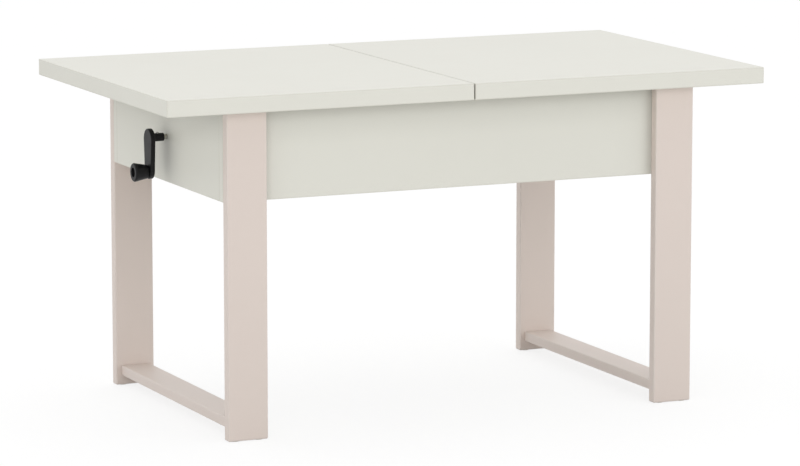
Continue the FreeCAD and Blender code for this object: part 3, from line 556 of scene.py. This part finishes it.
def metal(name, tints, patch, roughness, stretch, streak):
    """A metal with cloudy tint, patch millimetres across, and fine marks streak millimetres apart, drawn
    out along an axis by stretch. Roughness runs between its two values with the marks."""
    material, tree, spot = start_finish(name)
    drawn = add(tree, "Mapping", {"Vector": spot, "Scale": stretch}).outputs[0]
    cloud, marks = (
        add(tree, "TexNoise", {"Vector": where, "Scale": per_metre(size), "Detail": detail}).outputs["Fac"]
        for where, size, detail in ((spot, patch, CLOUD_DETAIL), (drawn, streak, MARK_DETAIL))
    )
    spread = add(
        tree, "MapRange", {"Value": cloud, "From Min": CLOUD_EDGE[0], "From Max": CLOUD_EDGE[1]}
    ).outputs[0]
    colour = add(
        tree, "Mix", {FACTOR: spread, FIRST: linear(tints[0]), SECOND: linear(tints[1])}, data_type="RGBA"
    ).outputs[MIXED]
    gloss = add(
        tree, "MapRange", {"Value": marks, "To Min": roughness[0], "To Max": roughness[1]}
    ).outputs[0]
    relief = add(tree, "Bump", {"Height": marks, "Strength": MARK_SHARE, "Distance": MARK_DEEP}).outputs[0]
    end_finish(tree, {"Base Color": colour, "Metallic": 1.0, "Roughness": gloss, "Normal": relief})
    return material


print("a metal's marks are", MARK_DEEP / MM, "mm deep")

# %% Zinc, aluminium and bronze
# how much marks are drawn out: not at all, along a strip, along an extrusion, across a machined face
EVEN, STRIP, DIE, MACHINED = (1, 1, 1), (0.02, 1, 1), (0.01, 1, 1), (1, 0.05, 1)

zinc = metal(
    "bright_zinc_plate", tints=("#B3B7BB", "#BAB6A9"), patch=9, roughness=(0.26, 0.4), stretch=EVEN,
    streak=1.0,
)
strip = metal(
    "rolled_zinc_strip", tints=("#B1B6BA", "#BBBAB1"), patch=30, roughness=(0.28, 0.46), stretch=STRIP,
    streak=1.2,
)
extruded = metal(
    "matt_anodised_aluminium", tints=("#C9CBCC", "#C2C5C7"), patch=60, roughness=(0.38, 0.5), stretch=DIE,
    streak=0.9,
)
bearing_bronze = metal(
    "bearing_bronze", tints=("#C3A35C", "#B9974F"), patch=25, roughness=(0.2, 0.34), stretch=MACHINED,
    streak=0.8,
)
METALS = {"zinc_steel": zinc, "anodised_aluminium": extruded, "bronze": bearing_bronze}
for slot, finish in METALS.items():
    for node in by_slot[slot]:
        dress(node, finish)
print("metal nodes", sum(len(by_slot[slot]) for slot in METALS))

# %% Powder coat and nylon
COAT_BLACK = "#1D1E20"
COAT_GREY = "#2B2C2E"
NYLON = "#E9E8E1"
NYLON_SHADE = "#DEDCD2"
PEBBLE_DEEP = 0.1 * MM
PATCH_DETAIL = 3.0
PEBBLE_DETAIL = 2.0


def coated(name, tints, patch, roughness, grit, bump):
    """A dyed or coated surface: two close tints in soft patches, and a pebbled skin, its grit in mm."""
    material, tree, spot = start_finish(name)
    cloud, pebble = (
        add(tree, "TexNoise", {"Vector": spot, "Scale": per_metre(size), "Detail": detail}).outputs["Fac"]
        for size, detail in ((patch, PATCH_DETAIL), (grit, PEBBLE_DETAIL))
    )
    colour = add(
        tree, "Mix", {FACTOR: cloud, FIRST: linear(tints[0]), SECOND: linear(tints[1])}, data_type="RGBA"
    ).outputs[MIXED]
    gloss = add(
        tree, "MapRange", {"Value": pebble, "To Min": roughness[0], "To Max": roughness[1]}
    ).outputs[0]
    skin = add(tree, "Bump", {"Height": pebble, "Strength": bump, "Distance": PEBBLE_DEEP}).outputs[0]
    end_finish(tree, {"Base Color": colour, "Roughness": gloss, "Normal": skin}, IOR=1.5)
    return material


powder = coated(
    "black_powder_coat", tints=(COAT_BLACK, COAT_GREY), patch=25, roughness=(0.42, 0.58), grit=0.8,
    bump=0.35,
)
nylon = coated(
    "moulded_white_nylon", tints=(NYLON, NYLON_SHADE), patch=18, roughness=(0.36, 0.48), grit=1.5, bump=0.1
)
for node in by_slot["black_powder_coat"]:
    dress(node, powder)
for node in by_slot["white_nylon"]:
    dress(node, nylon)
print("coated", by_slot["black_powder_coat"], "nylon", by_slot["white_nylon"])

# %% [markdown]
# ## Surfaces from numbers
# A screw, a rivet or a roller is turned: rows of points along its axis, columns round it. A channel or a
# rail is rolled or extruded: the same grid, with its section for columns. Blender's own cylinders could
# be cut and joined until they look right, but a grid worked out at once is cleaner, and its faces all
# point outwards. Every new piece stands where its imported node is: it rides on that node's body, takes its
# slot and stands for it. From here on, sizes are in millimetres.

# %% Places and grids
COLUMNS = 48
SIDES = (-1, 1)


def box_mm(node):
    """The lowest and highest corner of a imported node, in millimetres."""
    return [np.array(corner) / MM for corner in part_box(node)]


def middle_of(node):
    """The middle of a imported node's box, in millimetres."""
    low, high = box_mm(node)
    return (low + high) / 2


def angles(columns=COLUMNS):
    """Angles of the columns round a turned piece."""
    return np.linspace(0, 2 * np.pi, columns, endpoint=False)


def turned(profile, columns=COLUMNS):
    """A turned piece along local X: rows of (x, r) give points (x, r cos a, r sin a); r may vary with a."""
    a = angles(columns)
    x = np.array([row[0] for row in profile], float)[:, None] + 0 * a
    r = np.array([row[1] + 0 * a for row in profile])
    return np.stack([x, r * np.cos(a), r * np.sin(a)], -1)


def aim(points, at, along, up=(0, 0, 1)):
    """Turn local X to along and local Z towards up, then carry the origin to at."""
    ahead = np.array(along, float)
    across = np.cross(up, ahead)
    return points @ np.array([ahead, across, np.cross(ahead, across)]) + np.array(at, float)


def copies(shape, places, along, up=(0, 0, 1)):
    """The same shape at several places, all pointing one way."""
    return [aim(shape, place, along, up) for place in places]


def middles_between(low, high, margin, count):
    """Evenly spaced middles of count pieces between two limits, the first and last a margin inside them."""
    return np.linspace(low + margin, high - margin, count)


print("the crank's knob is at", np.round(middle_of("crank_knob"), 1), "mm")

# %% Pieces from grids
CREASE = math.radians(32)


def grid_faces(rows, columns, first, ring):
    """Quads between neighbouring rows, columns wrapping round. Rows form a ring or end in flat caps."""
    row = np.arange(rows if ring else rows - 1)[:, None]
    here = first + row * columns
    ahead = first + (row + 1) % rows * columns
    column = np.arange(columns)
    turn = (column + 1) % columns
    quads = np.stack([here + column, here + turn, ahead + turn, ahead + column], -1)
    faces = quads.reshape(-1, 4).tolist()
    if ring:
        return faces
    return faces + [(first + column[::-1]).tolist(), (first + (rows - 1) * columns + column).tolist()]


def stand_for(node, name, grids, finish, ring=False):
    """One object from point grids in millimetres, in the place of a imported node."""
    points, faces = [], []
    for grid in grids:
        first = sum(len(p) for p in points)
        faces += grid_faces(grid.shape[0], grid.shape[1], first, ring)
        points.append(grid.reshape(-1, 3))
    mesh = bpy.data.meshes.new(name)
    mesh.from_pydata((np.concatenate(points) * MM).tolist(), [], faces)
    mesh.polygons.foreach_set("use_smooth", np.ones(len(mesh.polygons), bool))
    mesh.set_sharp_from_angle(angle=CREASE)
    mesh.materials.append(finish)
    piece = bpy.data.objects.new(name, mesh)
    scene.collection.objects.link(piece)
    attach(piece, frame["nodes"][node]["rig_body"])
    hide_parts(node)
    print(name, "stands for", node, "with", len(mesh.polygons), "faces")


# %% [markdown]
# ## Lead screw
# The crank turns a Tr14 x 4 screw: a trapezoidal thread with a 4 mm pitch, the kind used where a screw
# carries a load. The thread is a trapezoid carried along a helix round a plain core. A bump pattern would
# be enough from far away, but when the top is raised the screw is seen from the side, and a real ridge
# catches the light. The plain end goes through the end panel into the crank, and the far end is left full
# under its stop collar.

# %% Lead screw
PITCH = 4.0
ROOT = 4.75
CREST = 7.0
SINK = 0.2
STEPS_PER_TURN = 28
# foot, crest, crest and foot of the trapezoid, in shares of the pitch, and which of them stand out
TRAPEZOID = np.array([0.325, 0.175, -0.175, -0.325])
RAISED = np.array([0, 1, 1, 0])
THINNEST = 0.02
SHAFT = 4.0
JOURNAL = 6.0
SHAFT_BREAK = 0.5
END_BREAK = 0.8
LAND = 1.5
NECK = 3.0
THREAD_INSET = 2.5


def thread_ridge(start, end):
    """A trapezoid along a helix: at angle t its middle is at x = start + pitch t / 2 pi. Its foot is sunk
    into the root, and its crest fades in and out over half a turn."""
    turns = (end - start) / PITCH
    t = np.linspace(0, 2 * np.pi * turns, int(turns * STEPS_PER_TURN))[:, None]
    fade = np.clip(np.minimum(t, t[-1] - t) / np.pi, THINNEST, 1)
    r = ROOT - SINK + RAISED * (CREST - ROOT + SINK) * fade
    x = start + PITCH * t / (2 * np.pi) + PITCH * TRAPEZOID
    return np.stack([x, r * np.cos(t), r * np.sin(t)], -1)


screw_low, screw_high = box_mm("lead_screw")
screw_z = (screw_low[2] + screw_high[2]) / 2
on_axis = (0, 0, screw_z)
bearing_x = box_mm("bearing_block")[0][0]
thread_from = box_mm("thrust_collar")[1][0]
stop_x = box_mm("stop_collar")[0][0]
core = turned([
    (screw_low[0], SHAFT - SHAFT_BREAK), (screw_low[0] + SHAFT_BREAK, SHAFT), (bearing_x, SHAFT),
    (bearing_x, JOURNAL), (thread_from, JOURNAL),
    (thread_from, CREST), (thread_from + LAND, CREST), (thread_from + NECK, ROOT),
    (stop_x - NECK, ROOT), (stop_x - LAND, CREST),
    (screw_high[0] - END_BREAK, CREST), (screw_high[0], CREST - END_BREAK),
])
ridge = thread_ridge(thread_from + THREAD_INSET, stop_x - THREAD_INSET)
stand_for("lead_screw", "threaded_lead_screw", [core + on_axis, ridge + on_axis], zinc)

# %% [markdown]
# ## Screws and bolts
# Wood screws here have domed pan heads with a cross recess, and the bolts that hold the legs have a
# hexagon socket. The outline of a recess is a radius that changes with the angle: the far side of a
# hexagon, or of two crossed bars. Rows of the grid follow that outline, so the recess has crisp walls
# without any cutting.

# %% Heads and recesses
TINY = 1e-9
BAR_SLOPE = math.tan(math.radians(15))
POINT = 0.3
RIM = 0.15
RECESS_TAPER = 0.8
# the domed head, in shares of its height and of its radius
DOME_STEPS = ((0.45, 0.98), (0.75, 0.88), (0.93, 0.76), (1.0, 0.62))


def hexagon(across):
    """Radius of a hexagon by angle: half its width over the cosine of the angle from the nearest flat."""
    return across / 2 / np.cos((angles() + np.pi / 6) % (np.pi / 3) - np.pi / 6)


def crossed_bars(long):
    """Radius of a cross by angle: the further of the two bars' ends. A bar's width is tan 15 degrees of its
    length."""
    c = np.abs(np.cos(angles())) + TINY
    s = np.abs(np.sin(angles())) + TINY
    wide = long * BAR_SLOPE
    return np.maximum(np.minimum(long / c, wide / s), np.minimum(wide / c, long / s))


def fastener(length, shank, head, high, recess, deep):
    """A screw along local X, from its tip to its head's top: shank, domed head, recess walls and floor."""
    seat = length - high
    stem = [(0, shank * POINT), (shank, shank), (seat, shank), (seat, head - RIM), (seat + RIM, head)]
    cap = [(seat + up * high, head * out) for up, out in DOME_STEPS]
    return turned(stem + cap + [(length, recess), (length - deep, recess * RECESS_TAPER)])


WOOD_SCREW = {"shank": 2.0, "head": 4.25, "high": 2.5, "recess": crossed_bars(2.4), "deep": 1.4}
LEG_BOLT = {"shank": 3.0, "head": 7.0, "high": 4.0, "recess": hexagon(5), "deep": 2.6}
print("wood screw heads", 2 * WOOD_SCREW["head"], "mm, bolt heads", 2 * LEG_BOLT["head"], "mm across")

# %% Wood screws
WEB = 2.5
margin = WOOD_SCREW["head"]

low, high = box_mm("channel_screws")
web_in = box_mm("base_channel_back")[1][1] - WEB
pan = fastener(high[1] - web_in + WOOD_SCREW["high"], **WOOD_SCREW)
heads = []
for side in SIDES:
    spots = [(x, side * high[1], screw_z) for x in middles_between(low[0], high[0], margin, count=4)]
    heads += copies(pan, spots, (0, -side, 0))
stand_for("channel_screws", "cross_head_channel_screws", heads, zinc)

low, high = box_mm("bearing_screws")
pan = fastener(high[0] - low[0], **WOOD_SCREW)
spots = [
    (low[0], y, z)
    for y in middles_between(low[1], high[1], margin, count=2)
    for z in middles_between(low[2], high[2], margin, count=2)
]
stand_for("bearing_screws", "cross_head_bearing_screws", copies(pan, spots, (1, 0, 0)), zinc)

for node in ("rail_screws", "runner_screws_left", "runner_screws_right"):
    low, high = box_mm(node)
    pan = fastener(high[2] - low[2], **WOOD_SCREW)
    spots = [
        (x, y, high[2])
        for x in middles_between(low[0], high[0], margin, count=3)
        for y in middles_between(low[1], high[1], margin, count=2)
    ]
    stand_for(node, "cross_head_" + node, copies(pan, spots, (0, 0, -1), (1, 0, 0)), zinc)

# %% Leg bolts
low, high = box_mm("leg_bolts")
apron_in = box_mm("apron_back")[0][1]
bolt = fastener(high[1] - apron_in + LEG_BOLT["high"], **LEG_BOLT)
heads = []
for side in SIDES:
    spots = [
        (x, side * high[1], z)
        for x in middles_between(low[0], high[0], LEG_BOLT["head"], count=2)
        for z in middles_between(low[2], high[2], LEG_BOLT["head"], count=3)
    ]
    heads += copies(bolt, spots, (0, -side, 0))
stand_for("leg_bolts", "socket_leg_bolts", heads, zinc)

# %% [markdown]
# ## The crank's own fasteners
# A set screw with a hexagon socket clamps the crank's hub on its shaft, and a socket bolt deep in the
# knob's recess lets the knob spin. Both are small and both are seen in the picture, as a glint on the hub
# and a shade in the knob.

# %% Set screw and knob bolt
SET_BREAK = 0.4
SET_SOCKET = 2.5
SET_SOCKET_FLOOR = 2.4
SET_SOCKET_DEEP = 1.6
KNOB_SHANK = 4.0
KNOB_SOCKET_DEEP = 2.4

low, high = box_mm("crank_set_screw")
tall = high[2] - low[2]
wide = (high[0] - low[0]) / 2
set_screw = turned([
    (0, wide - SET_BREAK), (SET_BREAK, wide), (tall - SET_BREAK, wide), (tall, wide - SET_BREAK),
    (tall, hexagon(SET_SOCKET)), (tall - SET_SOCKET_DEEP, hexagon(SET_SOCKET_FLOOR)),
])
set_at = ((low[0] + high[0]) / 2, 0, low[2])
stand_for("crank_set_screw", "hub_set_screw", [aim(set_screw, set_at, (0, 0, 1), (1, 0, 0))], zinc)

low, high = box_mm("knob_bolt")
knob_size = {"shank": KNOB_SHANK, "head": (high[2] - low[2]) / 2, "deep": KNOB_SOCKET_DEEP}
knob_bolt = fastener(high[0] - low[0], **{**LEG_BOLT, **knob_size})
knob_at = (high[0], 0, (low[2] + high[2]) / 2)
stand_for("knob_bolt", "socket_knob_bolt", [aim(knob_bolt, knob_at, (-1, 0, 0))], zinc)

# %% [markdown]
# ## Rivets, axles and rollers
# The arms turn on stepped rivets with snap heads. Each is a list of steps along its axis, and a head is a
# quarter of an ellipse turned round. Rollers and collars are rings with broken edges: their section is a
# closed loop, so their grid closes both ways.

# %% Rivet shapes
PLAY = 0.5
PIN = 5.0
BOSS = 8.0
BOSS_BREAK = 0.4
RIVET_HEAD = 7.5
RIVET_HIGH = 2.5
# angles from the rim of a head's small flat top to its seat
HEAD_ROWS = np.linspace(0.25, np.pi / 2, 7)
TAIL = 4.0
TAIL_SHORT = 0.1
ROLLER_WIDE = 10.0
AXLE_HEAD = 7.0
AXLE_HIGH = 2.0


def snap_head(seat, top, radius):
    """Rows of a domed head from its top to its seat: a quarter of an ellipse."""
    return list(zip(seat + (top - seat) * np.cos(HEAD_ROWS), radius * np.sin(HEAD_ROWS)))


def rivet_head(seat):
    """Rows of a rivet's head on the inner side of a pair of arms."""
    return snap_head(seat, seat - RIVET_HIGH, RIVET_HEAD)


def pivot_rivet(arm_in, arm_out, web, end):
    """Head inside the arm, pin through it, boss up to the channel's web, tail through the web."""
    seat = arm_in - PLAY
    clear = arm_out + PLAY
    return rivet_head(seat) + [
        (seat, PIN), (clear, PIN), (clear, BOSS - BOSS_BREAK), (clear + BOSS_BREAK, BOSS), (web, BOSS),
        (web, TAIL), (end - TAIL_SHORT, TAIL),
    ]


def axle_tail(arm_out, roller_far):
    """Collar from the arm to the roller, pin through the roller, low domed head outside it."""
    near = roller_far - ROLLER_WIDE
    clear = arm_out + PLAY
    head = snap_head(roller_far, roller_far + AXLE_HIGH, AXLE_HEAD)[::-1]
    return [(clear, PIN), (clear, BOSS), (near, BOSS), (near, PIN), (roller_far, PIN)] + head


def on_both_sides(profile, x, z):
    """A turned piece that points outwards on the front and on the back."""
    return [aim(turned(profile), (x, 0, z), (0, side, 0)) for side in SIDES]


print("rivet heads", 2 * RIVET_HEAD, "mm, pins", 2 * PIN, "mm across")

# %% Rivets and axles
SOCKET = 11.5
SOCKET_BREAK = 0.6
a_in, a_out = box_mm("arm_a_back")[0][1], box_mm("arm_a_back")[1][1]
b_in, b_out = box_mm("arm_b_back")[0][1], box_mm("arm_b_back")[1][1]
lower_far = box_mm("lower_glides")[1][1]
upper_far = box_mm("upper_glides")[1][1]

for node, arm_in, arm_out, channel in (
    ("base_pivot_rivets", a_in, a_out, "base_channel_back"),
    ("upper_pivot_rivets", b_in, b_out, "upper_channel_back"),
):
    x, _, z = middle_of(node)
    end = box_mm(channel)[1][1]
    rivet = pivot_rivet(arm_in, arm_out, end - WEB, end)
    stand_for(node, "snap_head_" + node, on_both_sides(rivet, x, z), zinc)

x, _, z = middle_of("scissor_rivets")
seat = a_in - PLAY
far = b_out + PLAY
centre = rivet_head(seat) + [(seat, PIN), (far, PIN)] + snap_head(far, far + RIVET_HIGH, RIVET_HEAD)[::-1]
stand_for("scissor_rivets", "snap_head_scissor_rivets", on_both_sides(centre, x, z), zinc)

x, _, z = middle_of("upper_glide_axles")
axle = rivet_head(seat) + [(seat, PIN)] + axle_tail(a_out, upper_far)
stand_for("upper_glide_axles", "snap_head_glide_axles", on_both_sides(axle, x, z), zinc)

x, _, z = middle_of("nut_bars")
shoulder = b_in - PLAY
bar = [(SOCKET, BOSS - SOCKET_BREAK), (SOCKET + SOCKET_BREAK, BOSS), (shoulder, BOSS), (shoulder, PIN)]
stand_for("nut_bars", "shouldered_nut_bars", on_both_sides(bar + axle_tail(b_out, lower_far), x, z), zinc)

# %% Rollers and collars
FIT = 0.05
ROLLER_EDGE = 0.9
COLLAR_EDGE = 0.8


def ring_rows(near, far, bore, outer, edge):
    """The closed section of a ring with broken edges, as rows of (along, radius)."""
    return [
        (near + edge, outer), (far - edge, outer), (far, outer - edge), (far, bore + edge),
        (far - edge, bore), (near + edge, bore), (near, bore + edge), (near, outer - edge),
    ]


for node, far in (("lower_glides", lower_far), ("upper_glides", upper_far)):
    low, high = box_mm(node)
    rows = ring_rows(far - ROLLER_WIDE, far, PIN + FIT, (high[0] - low[0]) / 2, ROLLER_EDGE)
    x, _, z = middle_of(node)
    stand_for(node, "chamfered_" + node, on_both_sides(rows, x, z), nylon, ring=True)

for node, bore in (("thrust_collar", JOURNAL + FIT), ("stop_collar", CREST + FIT)):
    low, high = box_mm(node)
    rows = ring_rows(low[0], high[0], bore, (high[2] - low[2]) / 2, COLLAR_EDGE)
    stand_for(node, "chamfered_" + node, [turned(rows) + on_axis], zinc, ring=True)

# %% [markdown]
# ## Channels, tubes and rails
# The scissor's rollers run in steel channels rolled from 2.5 mm strip, so their corners are bends, not
# edges. The cross tubes are drawn with round corners too, and the runner rails are extruded with a
# T-slot. All are a section carried straight along the piece. A bevel modifier could round the packed
# solids, but working the section out with an arc at each corner gives the true bends.

# %% Rounded sections
CORNERS = np.array([(-1, -1), (1, -1), (1, 1), (-1, 1)])


def rounded(corners, radii, steps=6):
    """A closed outline with an arc at each corner. With unit vectors u and w to its neighbours, and h half
    the angle between them, the arc's centre is r / sin h along their bisector, and its ends are r / tan h
    along u and w."""
    p = np.array(corners, float)
    r = np.broadcast_to(np.array(radii, float), len(p))[:, None]
    u = np.roll(p, 1, 0) - p
    w = np.roll(p, -1, 0) - p
    u /= np.linalg.norm(u, axis=1, keepdims=True)
    w /= np.linalg.norm(w, axis=1, keepdims=True)
    h = np.arccos((u * w).sum(1, keepdims=True)) / 2
    middle = p + (u + w) / np.linalg.norm(u + w, axis=1, keepdims=True) * r / np.sin(h)
    first = p + u * r / np.tan(h) - middle
    last = p + w * r / np.tan(h) - middle
    s = np.linspace(0, 1, steps)[None, :, None]
    wide = (np.pi - 2 * h)[:, :, None]
    arc = (np.sin((1 - s) * wide) * first[:, None] + np.sin(s * wide) * last[:, None]) / np.sin(wide)
    return (middle[:, None] + arc).reshape(-1, 2)


def carried(outline, stations):
    """An outline in (y, z) carried along x: one row of points at each station."""
    x = np.array(stations, float)[:, None]
    y = outline[:, 0] + 0 * x
    z = outline[:, 1] + 0 * x
    return np.stack([x + 0 * y, y, z], -1)


print("an outline of four rounded corners has", len(rounded(CORNERS * 10, 1)), "points")

# %% Rolled channels
BEND = 3.2
STRIP_EDGE = 0.5

for side_name, side in zip(("front", "back"), SIDES):
    for tier in ("base", "upper"):
        node = f"{tier}_channel_{side_name}"
        low, high = box_mm(node)
        deep, tall, half = high[1] - low[1], high[2] - low[2], (high[0] - low[0]) / 2
        section = rounded(
            [(0, 0), (deep, 0), (deep, tall), (0, tall), (0, tall - WEB), (deep - WEB, tall - WEB),
             (deep - WEB, WEB), (0, WEB)],
            [STRIP_EDGE, BEND, BEND, STRIP_EDGE, STRIP_EDGE, BEND - WEB, BEND - WEB, STRIP_EDGE],
        )
        lip = low[1] if side > 0 else high[1]
        rolled = aim(carried(section, (-half, half)), (0, lip, low[2]), (side, 0, 0))
        stand_for(node, "rolled_" + node, [rolled], strip)

# %% Drawn tubes
TUBE_WALL = 2.0
TUBE_BEND = 3.0

for end_name in ("left", "right"):
    node = "cross_tube_" + end_name
    low, high = box_mm(node)
    half_size = np.array([high[0] - low[0], high[2] - low[2]]) / 2
    outside = rounded(CORNERS * half_size, TUBE_BEND)
    inside = rounded(CORNERS * (half_size - TUBE_WALL), TUBE_BEND - TUBE_WALL)
    ends = (low[1], high[1])
    loop = np.concatenate([carried(outside, ends), carried(inside, ends[::-1])])
    x, _, z = middle_of(node)
    stand_for(node, "drawn_" + node, [aim(loop, (x, 0, z), (0, 1, 0))], powder, ring=True)

# %% Runner rails
SLOT = 8.0
LIP = 3.0
WALL = 3.5
BED = 4.0
RAIL_EDGE = 0.8
LIP_EDGE = 0.5
ROOM_EDGE = 0.4
RAIL_STEPS = 4

for side_name in ("front", "back"):
    node = "runner_rail_" + side_name
    low, high = box_mm(node)
    half, tall = (high[1] - low[1]) / 2, high[2] - low[2]
    room, under = half - WALL, tall - LIP
    section = rounded(
        [(-half, 0), (half, 0), (half, tall), (SLOT, tall), (SLOT, under), (room, under), (room, BED),
         (-room, BED), (-room, under), (-SLOT, under), (-SLOT, tall), (-half, tall)],
        [RAIL_EDGE] * 3 + [LIP_EDGE] * 2 + [ROOM_EDGE] * 4 + [LIP_EDGE] * 2 + [RAIL_EDGE], RAIL_STEPS,
    )
    rail = carried(section, (low[0], high[0])) + (0, middle_of(node)[1], low[2])
    stand_for(node, "extruded_" + node, [rail], extruded)

# %% [markdown]
# ## Caps, blocks and dowels
# The rails end in moulded caps, the screw's bearing sits in a block with rounded corners, and the nut is
# a milled block with broken edges. All are a rounded outline with its rims drawn in, and the two blocks
# lead back through a bore. The dowels are fluted, so that glue and air can get out of their holes:
# sixteen shallow grooves are a ripple in the radius.

# %% Caps and blocks
CAP = 3.0
CAP_CORNER = 2.0
CAP_EDGE = 0.7
BUSH = 10.0
HOUSING_CORNER = 6.0
HOUSING_EDGE = 0.8
NUT_CORNER = 1.5
NUT_EDGE = 1.0


def plate(half_wide, half_tall, corner, thick, edge):
    """A plate or block along local X: a rounded outline whose first and last rows are drawn in by edge."""
    rows = []
    for x, inset in ((0, edge), (edge, 0), (thick - edge, 0), (thick, edge)):
        outline = rounded(CORNERS * (half_wide - inset, half_tall - inset), corner - inset)
        rows.append(carried(outline, (x,)))
    return np.concatenate(rows)


def bored_block(node, corner, edge, bore):
    """A block on the screw's axis, led back through a round bore: each column meets the bore in its own
    direction."""
    low, high = box_mm(node)
    block = plate((high[1] - low[1]) / 2, (high[2] - low[2]) / 2, corner, high[0] - low[0], edge)
    turn = np.arctan2(block[0, :, 2], block[0, :, 1])
    hole = np.stack([0 * turn, bore * np.cos(turn), bore * np.sin(turn)], -1)
    ends = [hole + (block[row, 0, 0], 0, 0) for row in (-1, 0)]
    return np.concatenate([block, ends]) + (low[0], 0, screw_z)


low, high = box_mm("rail_end_caps")
rail_low, rail_high = box_mm("runner_rail_back")
cap = plate((rail_high[1] - rail_low[1]) / 2, (high[2] - low[2]) / 2, CAP_CORNER, CAP, CAP_EDGE)
cap_z = (low[2] + high[2]) / 2
rail_out = middle_of("runner_rail_back")[1]
spots = [(x, side * rail_out, cap_z) for x in (low[0], high[0] - CAP) for side in SIDES]
stand_for("rail_end_caps", "moulded_rail_caps", copies(cap, spots, (1, 0, 0)), nylon)

housing = bored_block("bearing_block", HOUSING_CORNER, HOUSING_EDGE, BUSH)
stand_for("bearing_block", "cast_bearing_block", [housing], powder, ring=True)
nut = bored_block("nut_block", NUT_CORNER, NUT_EDGE, CREST + FIT)
stand_for("nut_block", "milled_nut_block", [nut], bearing_bronze, ring=True)

# %% Dowels
FLUTES = 16
FLUTE_DEEP = 0.3
FLUTE_COLUMNS = 128
DOWEL_BREAK = 1.0


def dowel(length, radius):
    """A fluted dowel along local X: r = R - depth (1 + cos 16 a) / 2, with chamfered ends."""
    fluted = radius - FLUTE_DEEP * (1 + np.cos(FLUTES * angles(FLUTE_COLUMNS))) / 2
    tip = radius - DOWEL_BREAK
    rows = [(0, tip), (DOWEL_BREAK, fluted), (length - DOWEL_BREAK, fluted), (length, tip)]
    return turned(rows, FLUTE_COLUMNS)


for node, axis in (("top_dowels", 0), ("leaf_dowels", 1)):
    low, high = box_mm(node)
    across = 1 - axis
    radius = (high[2] - low[2]) / 2
    pin = dowel(high[axis] - low[axis], radius)
    along = np.eye(3)[axis]
    spots = []
    for place in middles_between(low[across], high[across], radius, count=3):
        at = np.array([low[0], low[1], (low[2] + high[2]) / 2])
        at[across] = place
        spots.append(at)
    stand_for(node, "fluted_" + node, copies(pin, spots, along), planed[GRAIN[node]])
